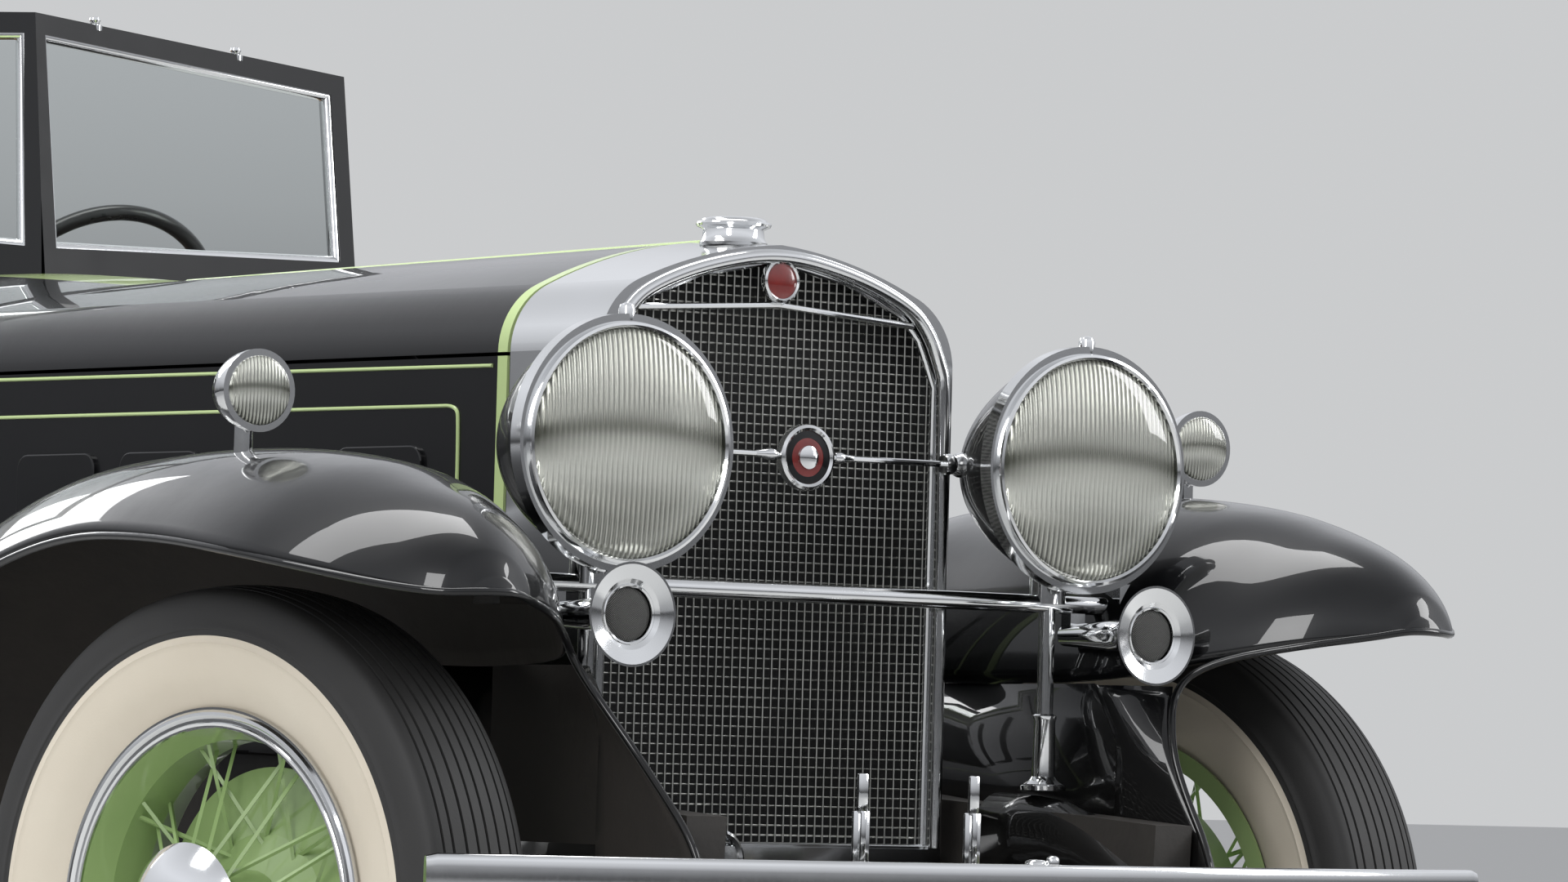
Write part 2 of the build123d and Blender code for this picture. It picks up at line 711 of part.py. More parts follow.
# Bar between the fenders that carries the headlamps and horns, on two posts
bar_half = 492.0
with BuildPart() as lamp_bar:
    with BuildSketch(side(-bar_half)):
        with Locations((lamp_bar_y, lamp_bar_z)):
            Circle(lamp_bar_radius)
    extrude(amount=2 * bar_half)
    for sign in (-1, 1):
        with Locations((sign * bar_half, lamp_bar_y, lamp_bar_z)):
            Box(54, 60, 60)
        with Locations((sign * headlamp_x, lamp_bar_y, 600)):
            Cylinder(11, lamp_bar_z - 600, align=(Align.CENTER, Align.CENTER, Align.MIN))
            Cylinder(30, 8, align=(Align.CENTER, Align.CENTER, Align.MIN))
        with Locations((sign * headlamp_x, lamp_bar_y, lamp_bar_z)):
            Cylinder(24, 70, align=(Align.CENTER, Align.CENTER, Align.MIN))
        with Locations((sign * horn_x, lamp_bar_y + 5, lamp_bar_z - 20)):
            Box(24, 20, 40)
    add(headlamp_pair, mode=Mode.SUBTRACT)
    add(horn_pair, mode=Mode.SUBTRACT)
    for fender in front_fender_pair.solids():
        add(fender, mode=Mode.SUBTRACT)
write(lamp_bar.part, "lamp_bar")


with BuildPart() as fender_lamp:
    with BuildSketch(side(0)):
        with BuildLine():
            Line((fender_lamp_face_y, fender_lamp_z), (fender_lamp_face_y, fender_lamp_z + fender_lamp_radius))
            ThreePointArc((fender_lamp_face_y, fender_lamp_z + fender_lamp_radius),
                          (front_axle_y + 20, fender_lamp_z + 34), (front_axle_y + 50, fender_lamp_z))
            Line((front_axle_y + 50, fender_lamp_z), (fender_lamp_face_y, fender_lamp_z))
        make_face()
    revolve(axis=Axis((0, 0, fender_lamp_z), (0, 1, 0)))
    with Locations((0, front_axle_y - 2, fender_lamp_z - 90)):
        Cylinder(12, 60, align=(Align.CENTER, Align.CENTER, Align.MIN))
    add(Location((-fender_lamp_x, 0, 0)) * front_fender_whole.part, mode=Mode.SUBTRACT)
lamp_pieces = fender_lamp.part.solids().sort_by(Axis.Z)[-1]
write(Compound([Location((fender_lamp_x, 0, 0)) * lamp_pieces,
                mirror(Location((fender_lamp_x, 0, 0)) * lamp_pieces, about=Plane.YZ)]), "fender_lamps")


rear_fender_stations = [
    # y from the rear axle, outer lip x and z, crown x and z, inner edge x and z
    (-760, 900, 405, 770, 432, 600, 426),
    (-640, 905, 425, 770, 480, 600, 462),
    (-540, 915, 500, 770, 592, 600, 560),
    (-420, 925, 615, 770, 762, 600, 725),
    (-220, fender_half_width, 745, 770, 905, 600, 868),
    (0, fender_half_width, 790, 770, 952, 600, 915),
    (220, fender_half_width, 765, 768, 915, 600, 878),
    (420, 926, 665, 762, 798, 600, 762),
    (580, 905, 520, 752, 618, 600, 590),
    (660, 880, 440, 742, 500, 610, 480),
]
# Running boards and the splash aprons between them and the frame
running_board_z = 405.0
running_board_rear_y = rear_axle_y - 760
apron_x = 600.0
with BuildPart() as running_boards:
    for sign in (-1, 1):
        length = running_board_rear_y - running_board_front_y - 2 * seat_gap
        middle_y = (running_board_rear_y + running_board_front_y) / 2
        with Locations((sign * 760, middle_y, running_board_z - 16)):
            Box(280, length, 32)
        with Locations((sign * 612, middle_y, (running_board_z + sill_z) / 2 - 16)):
            Box(24, length, sill_z - running_board_z + 30)
        for y in (front_axle_y + 1900, front_axle_y + 2650):
            with Locations((sign * 560, y, 560)):
                Box(79, 60, 30)
write(running_boards.part, "running_boards")


def fender_block(stations, axle_y, gap):
    """The space a fender fills, from just over its crown down to the road, for cutting the body round it."""
    sections = []
    for y, lip_x, lip_z, crown_x, crown_z, inner_x, inner_z in stations:
        with BuildSketch(cross(axle_y + y)) as section:
            with BuildLine():
                ThreePointArc((lip_x, lip_z + gap), (crown_x, crown_z + gap), (inner_x - gap, inner_z + gap))
                Polyline((inner_x - gap, inner_z + gap), (inner_x - 10 - gap, inner_z + gap),
                         (inner_x - 10 - gap, 300), (lip_x, 300), (lip_x, lip_z + gap))
            make_face()
        sections.append(section.sketch)
    with BuildPart() as block:
        loft(sections)
    return Compound([block.part, mirror(block.part, about=Plane.YZ)])


# Body plan: sides bowed from the cowl to the rounded back, the same at each height but for an inset
door_front_y = front_axle_y + 2054
pillar_front_y = front_axle_y + 2750
pillar_rear_y = front_axle_y + 2840
rear_quarter_y = front_axle_y + 3458
body_back_y = front_axle_y + 4215
body_front_y = windscreen_post_y
belt_inset = 12.0
sill_inset = 24.0
middle_z = 830.0


def body_level(z, inset):
    """The body's plan outline behind the windscreen, pulled in by the inset."""
    with BuildSketch(level(z)) as outline:
        with BuildLine():
            Line((0, body_front_y), (655 - inset, body_front_y))
            ThreePointArc((655 - inset, body_front_y), (body_half_width - inset, front_axle_y + 2800),
                          (652 - inset, rear_axle_y))
            Polyline((652 - inset, rear_axle_y), (612 - inset, body_back_y - inset), (0, body_back_y - inset),
                     (0, body_front_y))
        make_face()
        mirror(about=Plane.YZ)
        fillet(outline.vertices().group_by(Axis.Y)[-1], radius=210 - inset)
    return outline.sketch


with BuildPart() as body_wall:
    loft([body_level(sill_z, sill_inset), body_level(middle_z, 0), body_level(belt_z, belt_inset)])
    loft([
        body_level(sill_z, sill_inset + door_thickness), body_level(middle_z, door_thickness),
        body_level(belt_z, belt_inset + door_thickness),
    ], mode=Mode.SUBTRACT)


def wall_piece(low_y, high_y, low_z, sign=0):
    """The body wall between two places along the car and above a height, on one side or on both."""
    low_x = -800 if sign < 1 else 0
    width = 1600 if sign == 0 else 800
    with BuildPart() as piece:
        add(body_wall.part)
        with Locations((low_x, low_y, low_z)):
            Box(width, high_y - low_y, 1400 - low_z, align=(Align.MIN, Align.MIN, Align.MIN), mode=Mode.INTERSECT)
    return piece.part


wheelhouse = fender_block(rear_fender_stations, rear_axle_y, seat_gap)
wheelhouse_end_y = rear_axle_y + 220

with BuildPart() as wheelhouse_cut:
    add(wheelhouse)
    with Locations((0, wheelhouse_end_y, 250)):
        Box(1200, 1600, 1200, align=(Align.MIN, Align.MAX, Align.MIN), mode=Mode.INTERSECT)

with BuildPart() as rear_body:
    add(wall_piece(rear_quarter_y, body_back_y + 10, sill_z, 1))
    add(wheelhouse_cut.part, mode=Mode.SUBTRACT)
    mirror(about=Plane.YZ)
    add(chassis_frame.part, mode=Mode.SUBTRACT)
write(rear_body.part, "rear_body")

with BuildPart() as body_block:
    loft([body_level(sill_z, sill_inset - seat_gap), body_level(middle_z, -seat_gap),
          body_level(belt_z, belt_inset - seat_gap)])
    extrude(body_level(sill_z, sill_inset - seat_gap), amount=-200)
    with Locations((0, wheelhouse_end_y, 250)):
        Box(2400, 1600, 1200, align=(Align.CENTER, Align.MIN, Align.MIN), mode=Mode.INTERSECT)

with BuildPart() as rear_fender:
    loft([
        fender_section(rear_axle_y + y, (lip_x, lip_z), (crown_x, crown_z), (inner_x, inner_z))
        for y, lip_x, lip_z, crown_x, crown_z, inner_x, inner_z in rear_fender_stations
    ])
    with BuildSketch(side(597)):
        with BuildLine():
            Polyline(
                *[(rear_axle_y + row[0], row[6] - 2) for row in rear_fender_stations[2:7]],
                (wheelhouse_end_y, 556), (rear_axle_y - 540, 556), close=True,
            )
        make_face()
    extrude(amount=4)
    add(body_block.part, mode=Mode.SUBTRACT)
rear_fender_pair = Compound([rear_fender.part, mirror(rear_fender.part, about=Plane.YZ)])
write(rear_fender_pair, "rear_fenders")

# Doors, hung on the centre pillar, and the sills and pillars between them
hinge_out = 10.0
hinge_radius = 8.0
hinge_pin_radius = 3.0
hinge_heights = [720.0, 900.0, 1090.0]
hinge_leaf = 26.0
knuckle_half = 14.0
hinge_x = body_half_width + hinge_out
front_hinge_y = pillar_front_y - door_gap / 2
rear_hinge_y = pillar_rear_y + door_gap / 2
door_table = [
    # name, first y, last y, hinge y, direction from the hinge to the door
    ("front", door_front_y + door_gap, pillar_front_y - door_gap, front_hinge_y, -1),
    ("rear", pillar_rear_y + door_gap, rear_quarter_y - door_gap, rear_hinge_y, 1),
]
arch_rise = 24.0


def arch_block(rise):
    """Everything below a line that follows the rear fender's crown, raised so that an opening door clears it."""
    with BuildPart() as block:
        with BuildSketch(side(0)):
            with BuildLine():
                Polyline(
                    (rear_axle_y - 640, 300), (rear_axle_y - 640, 480 + rise),
                    *[(rear_axle_y + row[0], row[4] + rise) for row in rear_fender_stations[2:6]],
                    (rear_axle_y, 300), close=True,
                )
            make_face()
        extrude(amount=900)
    return block.part


for door_name, low_y, high_y, hinge_y, toward in door_table:
    with BuildPart() as door:
        add(wall_piece(low_y, high_y, door_bottom_z, 1))
        if door_name == "rear":
            add(arch_block(arch_rise + door_gap), mode=Mode.SUBTRACT)
        for z in hinge_heights:
            with Locations((hinge_x, hinge_y, z)):
                Cylinder(hinge_radius, 2 * knuckle_half - 1)
            with Locations((hinge_x - 8, hinge_y + toward * 14, z)):
                Box(16, 26, 2 * knuckle_half - 1)
        for z in hinge_heights:
            with Locations((hinge_x, hinge_y, z)):
                Cylinder(hinge_pin_radius + running_gap, 2 * knuckle_half, mode=Mode.SUBTRACT)
    write(door.part, f"door_{door_name}_left")
    write(mirror(door.part, about=Plane.YZ), f"door_{door_name}_right")

with BuildPart() as sill_strip:
    add(wall_piece(door_front_y, rear_quarter_y, sill_z, 1))
    with Locations((0, door_front_y, sill_z)):
        Box(800, rear_quarter_y - door_front_y, door_bottom_z - door_gap - sill_z,
            align=(Align.MIN, Align.MIN, Align.MIN), mode=Mode.INTERSECT)

with BuildPart() as arch_strip:
    add(wall_piece(pillar_rear_y, rear_quarter_y, sill_z, 1))
    add(arch_block(arch_rise), mode=Mode.INTERSECT)

with BuildPart() as door_pillar:
    add(wall_piece(pillar_front_y, pillar_rear_y, sill_z, 1))
    add(sill_strip.part)
    add(arch_strip.part)
    add(wheelhouse, mode=Mode.SUBTRACT)
    add(rear_fender.part, mode=Mode.SUBTRACT)
    for hinge_y, toward in ((front_hinge_y, 1), (rear_hinge_y, -1)):
        for z in hinge_heights:
            for up in (-1, 1):
                with Locations((hinge_x, hinge_y, z + up * 1.5 * knuckle_half)):
                    Cylinder(hinge_radius, knuckle_half)
                with Locations((hinge_x - 8, hinge_y + toward * 14, z + up * 1.5 * knuckle_half)):
                    Box(16, 26, knuckle_half)
            with Locations((hinge_x, hinge_y, z)):
                Cylinder(hinge_pin_radius, 4 * knuckle_half)
write(Compound([door_pillar.part, mirror(door_pillar.part, about=Plane.YZ)]), "door_pillars")


def hood_section(y, half_width, low_z, side_z, top_z, inset=0.0):
    """A closed cross-section of hood or cowl: upright sides, round shoulders and a low crowned top."""
    x = half_width - inset
    shoulder_x = x - shoulder_inset
    shoulder_z = side_z + shoulder_rise - inset
    top = top_z - inset
    crown_z = top - (top - shoulder_z) * crown_share
    with BuildSketch(cross(y)) as section:
        with BuildLine():
            Line((-x, low_z), (x, low_z))
            Line((x, low_z), (x, side_z - inset))
            TangentArc([(x, side_z - inset), (shoulder_x, shoulder_z)], tangent=(0, 1))
            ThreePointArc((shoulder_x, shoulder_z), (x * 0.45, crown_z), (0, top))
            ThreePointArc((0, top), (-x * 0.45, crown_z), (-shoulder_x, shoulder_z))
            TangentArc([(-x, side_z - inset), (-shoulder_x, shoulder_z)], tangent=(0, 1))
            Line((-x, side_z - inset), (-x, low_z))
        make_face()
    return section.sketch


# Hood: two top panels that lift on the centre hinge, and two latched side panels that stand on the rails
hood_hinge_radius = 7.0
hood_hinge_z = ridge_z - hood_sheet
hood_ledge_width = 66.0
hood_first_y = hood_front_y + panel_gap
hood_last_y = hood_rear_y - panel_gap
hood_length = hood_last_y - hood_first_y


def hood_solid(inset):
    """The hood's whole outer form, pulled in by the inset."""
    with BuildPart() as solid:
        loft([
            hood_section(hood_first_y, hood_front_half_width, hood_bottom_z, seam_z, ridge_z, inset),
            hood_section(hood_last_y, hood_rear_half_width, hood_bottom_z, seam_z, ridge_z, inset),
        ], ruled=True)
    return solid.part


with BuildPart() as hood_shell:
    add(hood_solid(0))
    add(hood_solid(hood_sheet), mode=Mode.SUBTRACT)
    with Locations((0, hood_first_y, 0)):
        Box(1200, hood_length, hood_bottom_z + hood_sheet,
            align=(Align.CENTER, Align.MIN, Align.MIN), mode=Mode.SUBTRACT)

with BuildPart() as hood_top:
    add(hood_shell.part)
    with Locations((hood_hinge_radius + running_gap, hood_first_y, seam_z)):
        Box(600, hood_length, 300, align=(Align.MIN, Align.MIN, Align.MIN), mode=Mode.INTERSECT)
write(hood_top.part, "hood_top_left")
write(mirror(hood_top.part, about=Plane.YZ), "hood_top_right")

with BuildPart() as hood_hinge:
    with BuildSketch(cross(hood_rear_y - seat_gap)):
        with Locations((0, hood_hinge_z)):
            Circle(hood_hinge_radius)
    extrude(amount=hood_rear_y - hood_front_y + 2 - 2 * seat_gap)
write(hood_hinge.part, "hood_hinge")

with BuildPart() as hood_side:
    add(hood_shell.part)
    with Locations((100, hood_first_y, hood_bottom_z)):
        Box(600, hood_length, seam_z - panel_gap - hood_bottom_z, align=(Align.MIN, Align.MIN, Align.MIN),
            mode=Mode.INTERSECT)
    with BuildSketch(level(rail_top_z + seat_gap)):
        with BuildLine():
            Polyline(
                (hood_front_half_width - hood_sheet, hood_first_y),
                (hood_front_half_width + hood_ledge_width, hood_first_y),
                (hood_rear_half_width + hood_ledge_width, hood_last_y),
                (hood_rear_half_width - hood_sheet, hood_last_y), close=True,
            )
        make_face()
    extrude(amount=hood_bottom_z + 2 * hood_sheet - rail_top_z - seat_gap)
    with BuildSketch(level(rail_top_z + seat_gap + hood_sheet)):
        with BuildLine():
            Polyline(
                (hood_front_half_width + hood_sheet, hood_first_y - 1),
                (hood_front_half_width + hood_ledge_width + 1, hood_first_y - 1),
                (hood_rear_half_width + hood_ledge_width + 1, hood_last_y + 1),
                (hood_rear_half_width + hood_sheet, hood_last_y + 1), close=True,
            )
        make_face()
    extrude(amount=100, mode=Mode.SUBTRACT)
    add(front_fender_whole.part, mode=Mode.SUBTRACT)
write(hood_side.part, "hood_side_left")
write(mirror(hood_side.part, about=Plane.YZ), "hood_side_right")

# Steering column with its box on the left rail, and the wheel that turns on its upper end
column_down = Vector(0, -math.cos(math.radians(column_lean)), -math.sin(math.radians(column_lean)))
wheel_centre = Vector(steering_wheel_x, steering_wheel_y, steering_wheel_z)
column_plane = Plane(origin=wheel_centre + column_down * 40, x_dir=(1, 0, 0), z_dir=column_down)
with BuildPart() as steering_column:
    with BuildSketch(column_plane):
        Circle(column_radius)
    extrude(amount=column_length)
    with BuildSketch(column_plane):
        Circle(10)
    extrude(amount=-60)
    with Locations((steering_wheel_x, front_axle_y + 1190, rail_top_z + seat_gap)):
        Box(80, 160, 90, align=(Align.CENTER, Align.CENTER, Align.MIN))
write(steering_column.part, "steering_column")

with BuildPart() as column_hole:
    with BuildSketch(column_plane):
        Circle(column_radius + seat_gap)
    extrude(amount=column_length)
column_clearance = column_hole.part

wheel_plane = Plane(origin=wheel_centre, x_dir=(1, 0, 0), z_dir=-column_down)
with BuildPart() as steering_wheel:
    with BuildSketch(Plane(origin=wheel_centre, x_dir=(1, 0, 0), z_dir=wheel_plane.y_dir)):
        with Locations((steering_wheel_radius, 0)):
            Circle(13)
    revolve(axis=Axis(wheel_centre, -column_down))
    with BuildSketch(wheel_plane.offset(-30)):
        Circle(34)
    extrude(amount=44)
    for angle in (45, 135, 225, 315):
        start = wheel_plane.from_local_coords(Vector(20 * math.cos(math.radians(angle)),
                                                     20 * math.sin(math.radians(angle)), -6))
        end = wheel_plane.from_local_coords(Vector(206 * math.cos(math.radians(angle)),
                                                   206 * math.sin(math.radians(angle)), -2))
        with BuildSketch(Plane(origin=start, z_dir=end - start)):
            Circle(7)
        extrude(amount=(end - start).length)
    with BuildSketch(wheel_plane.offset(-41)):
        Circle(10 + running_gap)
    extrude(amount=62, mode=Mode.SUBTRACT)
write(steering_wheel.part, "steering_wheel")

# Cowl: from the hood's rear edge to the windscreen, with its firewall and the front door posts
cowl_middle_y = (hood_rear_y + windscreen_post_y) / 2


def cowl_solid(inset):
    """The cowl's whole outer form, pulled in by the inset."""
    with BuildPart() as solid:
        loft([
            hood_section(hood_rear_y + inset, hood_rear_half_width, sill_z, seam_z, ridge_z, inset),
            hood_section(cowl_middle_y, 566, sill_z, seam_z + 12, ridge_z + 22, inset),
            hood_section(windscreen_post_y, 655, sill_z, belt_z, cowl_top_z, inset),
            hood_section(door_front_y, 657, sill_z, belt_z, cowl_top_z, inset),
        ])
    return solid.part


with BuildPart() as cowl:
    add(cowl_solid(0))
    add(cowl_solid(20), mode=Mode.SUBTRACT)
    with BuildSketch(level(belt_z - 4)):
        with BuildLine():
            Polyline((0, windscreen_centre_y + 24), (700, windscreen_post_y + 34), (700, door_front_y + 50),
                     (-700, door_front_y + 50), (-700, windscreen_post_y + 34), (0, windscreen_centre_y + 24))
        make_face()
    extrude(amount=400, mode=Mode.SUBTRACT)
    add(chassis_frame.part, mode=Mode.SUBTRACT)
    add(column_clearance, mode=Mode.SUBTRACT)
write(cowl.part, "cowl")

# Floor from the firewall to the rear seat, with a sloping toe board
floor_z = rail_top_z + seat_gap
with BuildPart() as floor_pan:
    extrude(body_level(floor_z, sill_inset + door_thickness + 2), amount=14)
    for block in wheelhouse.solids():
        add(block, mode=Mode.SUBTRACT)
    with BuildSketch(side(-400)):
        with BuildLine():
            Polyline((front_axle_y + 1424, floor_z + 210), (front_axle_y + 1434, floor_z + 210),
                     (front_axle_y + 1660, floor_z + 10), (front_axle_y + 1990, floor_z + 10),
                     (front_axle_y + 1990, floor_z), (front_axle_y + 1650, floor_z),
                     (front_axle_y + 1424, floor_z + 210))
        make_face()
    extrude(amount=800)
    add(column_clearance, mode=Mode.SUBTRACT)
write(floor_pan.part, "floor_pan")

# Dashboard under the cowl's rear edge
with BuildPart() as dashboard:
    with BuildSketch(cross(windscreen_post_y - 10)):
        with BuildLine():
            Polyline((-600, 1020), (600, 1020), (600, 1205))
            ThreePointArc((600, 1205), (0, 1300), (-600, 1205))
            Line((-600, 1205), (-600, 1020))
        make_face()
    extrude(amount=24)
    add(cowl.part, mode=Mode.SUBTRACT)
    add(column_clearance, mode=Mode.SUBTRACT)
write(dashboard.part, "dashboard")

# Windscreen in a shallow V, leaning back a little, two framed panes on one frame
screen_run = windscreen_post_y - windscreen_centre_y
screen_angle = math.atan2(screen_run, 655)
screen_lean = math.radians(7.0)
pane_across = Vector(math.cos(screen_angle), math.sin(screen_angle), 0)
pane_flat_normal = Vector(math.sin(screen_angle), -math.cos(screen_angle), 0)
pane_normal = pane_flat_normal * math.cos(screen_lean) + Vector(0, 0, math.sin(screen_lean))
pane_plane = Plane(origin=(0, windscreen_centre_y, cowl_top_z), x_dir=pane_across, z_dir=pane_normal)
pane_width = 655 / math.cos(screen_angle)
frame_outer = [(0, -60), (pane_width, -150), (pane_width, 362), (0, 402)]
frame_opening = [(26, 36), (pane_width - 32, 58), (pane_width - 32, 330), (26, 368)]
frame_depth = 28.0


def pane_solid(corners, depth):
    """A flat piece of the windscreen's left half, through the middle of its plane."""
    with BuildPart() as solid:
        with BuildSketch(pane_plane):
            with BuildLine():
                Polyline(*corners, close=True)
            make_face()
        extrude(amount=depth / 2, both=True)
    return solid.part


with BuildPart() as windscreen_half:
    add(pane_solid(frame_outer, frame_depth))
    add(pane_solid(frame_opening, frame_depth + 10), mode=Mode.SUBTRACT)
    with Locations((-400, 0, 1000)):
        Box(400, 4000, 1000, align=(Align.MIN, Align.CENTER, Align.MIN), mode=Mode.SUBTRACT)
with BuildPart() as windscreen_frame:
    add(windscreen_half.part)
    mirror(about=Plane.YZ)
    add(cowl.part, mode=Mode.SUBTRACT)
    add(dashboard.part, mode=Mode.SUBTRACT)
frame_piece = windscreen_frame.part.solids().sort_by(SortBy.VOLUME)[-1]
write(frame_piece, "windscreen_frame")
glass_corners = [(26.3, 36.3), (pane_width - 32.3, 58.3), (pane_width - 32.3, 329.7), (26.3, 367.7)]
glass_half = pane_solid(glass_corners, 6)
write(Compound([glass_half, mirror(glass_half, about=Plane.YZ)]), "windscreen_glass")

# Seats: plain boxes carry the soft cushions and backs
seat_table = [
    # name, first y, last y, half width
    ("front", front_axle_y + 2350, front_axle_y + 2860, 560),
    ("rear", front_axle_y + 3330, front_axle_y + 3860, 572),
]
cushion_base_z = 740.0
cushion_top_z = 925.0
back_top_z = 1225.0
back_thickness = 130.0
with BuildPart() as seat_frames:
    for _, low_y, high_y, half in seat_table:
        frame_back_y = high_y + 5 + back_thickness + seat_gap
        with Locations((0, low_y + 40, floor_z + 14 + seat_gap)):
            Box(2 * half - 40, frame_back_y + 20 - low_y - 40, cushion_base_z - floor_z - 14 - 2 * seat_gap,
                align=(Align.CENTER, Align.MIN, Align.MIN))
        with Locations((0, frame_back_y, cushion_base_z - 20)):
            Box(2 * half - 40, 20, back_top_z - cushion_base_z - 20, align=(Align.CENTER, Align.MIN, Align.MIN))
write(seat_frames.part, "seat_frames")
for seat_name, low_y, high_y, half in seat_table:
    with BuildPart() as seat:
        with Locations((0, low_y, cushion_base_z)):
            Box(2 * half, high_y - low_y, cushion_top_z - cushion_base_z, align=(Align.CENTER, Align.MIN, Align.MIN))
        with Locations((0, high_y + 5, cushion_base_z)):
            Box(2 * half, back_thickness, back_top_z - cushion_base_z, align=(Align.CENTER, Align.MIN, Align.MIN))
        fillet(seat.edges().filter_by(Axis.X), radius=40)
    write(seat.part, f"{seat_name}_seat")

# Top, folded down round the back of the body
top_front_y = front_axle_y + 3560
top_back_y = body_back_y + 190
top_inner_half = 598.0
with BuildPart() as folded_top:
    with BuildSketch(level(belt_z + seat_gap)):
        with BuildLine():
            Polyline((-720, top_front_y), (-720, top_back_y), (720, top_back_y), (720, top_front_y),
                     (top_inner_half, top_front_y), (top_inner_half, body_back_y - 170),
                     (-top_inner_half, body_back_y - 170), (-top_inner_half, top_front_y),
                     (-720, top_front_y))
        make_face()
    extrude(amount=170)
    fillet(folded_top.edges().filter_by(Axis.Z).group_by(Axis.Y)[-1], radius=260)
write(folded_top.part, "folded_top")

# Fuel tank between the rails
with BuildPart() as fuel_tank:
    with Locations((0, front_axle_y + 4430, 492)):
        Box(740, 389.4, 190)
    fillet(fuel_tank.edges().filter_by(Axis.X), radius=60)
write(fuel_tank.part, "fuel_tank")

# Exhaust pipe and silencer under the right-hand side
with BuildPart() as exhaust:
    with BuildLine() as pipe_line:
        FilletPolyline(
            (-190, front_axle_y + 900, 579.7), (-190, front_axle_y + 1000, 450), (-250, front_axle_y + 2600, 450),
            (-250, front_axle_y + 3350, 450), (-425, front_axle_y + 3560, 520), (-425, front_axle_y + 3960, 520),
            (-425, front_axle_y + 4740, 470), radius=60,
        )
    with BuildSketch(Plane(origin=pipe_line.line @ 0, z_dir=pipe_line.line % 0)):
        Circle(24)
    sweep(path=pipe_line.line)
    with BuildSketch(cross(front_axle_y + 3300)):
        with Locations((-250, 450)):
            Ellipse(95, 60)
    extrude(amount=600)
    add(engine_block.part, mode=Mode.SUBTRACT)
write(exhaust.part, "exhaust")

# Spare wheel and tyre on the rear carrier
spare_place = Location((0, spare_y, spare_z), (0, 0, 90))
write(spare_place * wheel.part, "wheel_spare")
write(spare_place * tyre.part, "tyre_spare")

# Tail lamps on short stems on the rear fenders
tail_lamp_y = rear_axle_y + 500
tail_lamp_z = 850.0
with BuildPart() as tail_lamp:
    with BuildSketch(cross(tail_lamp_y)):
        with Locations((770, tail_lamp_z)):
            Circle(50)
    extrude(amount=-60)
    with Locations((770, tail_lamp_y + 26, 600)):
        Cylinder(11, tail_lamp_z - 610, align=(Align.CENTER, Align.CENTER, Align.MIN))
    add(rear_fender.part, mode=Mode.SUBTRACT)
tail_piece = tail_lamp.part.solids().sort_by(Axis.Z)[-1]
write(Compound([tail_piece, mirror(tail_piece, about=Plane.YZ)]), "tail_lamps")

# Covers over the frame horns and the low panel between them
apron_front_y = front_axle_y - 520
apron_rear_y = front_axle_y - 110
apron_cover_half = 42.0
apron_panel_z = 486.0
with BuildPart() as front_apron:
    for sign in (-1, 1):
        with BuildSketch(cross(apron_rear_y)):
            with Locations((sign * rail_front_x, 557)):
                Circle(apron_cover_half)
            with Locations((sign * rail_front_x, 515)):
                Rectangle(2 * apron_cover_half, 84)
        extrude(amount=apron_rear_y - apron_front_y)
    with Locations((0, apron_rear_y, apron_panel_z)):
        Box(2 * rail_front_x, apron_rear_y - apron_front_y, 8, align=(Align.CENTER, Align.MAX, Align.MAX))
    with BuildSketch(side(-900)):
        with BuildLine():
            Polyline(
                (apron_front_y - 1, 700), (apron_rear_y - 60, 700), (apron_front_y - 1, 560), close=True,
            )
        make_face()
    extrude(amount=1800, mode=Mode.SUBTRACT)
    for piece in (chassis_frame, radiator_shell, lamp_bar, front_bumper, leaf_springs, front_fender_whole):
        add(piece.part, mode=Mode.SUBTRACT)
    add(mirror(front_fender_whole.part, about=Plane.YZ), mode=Mode.SUBTRACT)
largest = front_apron.part.solids().sort_by(SortBy.VOLUME)[-1]
write(largest, "front_apron")
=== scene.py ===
# %% [markdown]
# An open touring car of about 1930, seen from low down in front of its right-hand lamp. The solids of
# the car come ready-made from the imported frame. This lesson gives each of them a finish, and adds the
# finer pieces: grooved tyres, lamp glasses, wire screen, hood doors, cushions and trim.

import math

import bmesh
import bpy
from mathutils import Matrix, Vector


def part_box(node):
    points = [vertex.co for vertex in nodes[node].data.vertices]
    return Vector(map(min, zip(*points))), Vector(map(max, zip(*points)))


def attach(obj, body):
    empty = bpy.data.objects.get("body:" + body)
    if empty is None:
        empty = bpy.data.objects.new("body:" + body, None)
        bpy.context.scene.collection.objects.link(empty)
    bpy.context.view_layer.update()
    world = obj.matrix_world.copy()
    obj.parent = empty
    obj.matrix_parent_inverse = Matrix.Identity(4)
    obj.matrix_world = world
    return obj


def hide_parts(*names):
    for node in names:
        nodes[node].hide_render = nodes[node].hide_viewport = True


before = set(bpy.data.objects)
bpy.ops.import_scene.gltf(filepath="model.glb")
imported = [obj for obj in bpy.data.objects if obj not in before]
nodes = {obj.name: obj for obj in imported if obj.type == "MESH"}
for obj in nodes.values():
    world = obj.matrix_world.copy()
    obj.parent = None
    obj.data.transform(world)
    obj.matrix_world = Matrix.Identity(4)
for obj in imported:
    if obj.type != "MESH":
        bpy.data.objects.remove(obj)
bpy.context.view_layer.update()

# %% [markdown]
# The photograph was taken with a long lens held 0.63 m above the ground, a little higher than the bumper.
# A long lens flattens the car, so the camera stands well back and its focal length does the framing.
# It is built from its viewing direction, and a small roll is turned in, because the car leans in the frame.

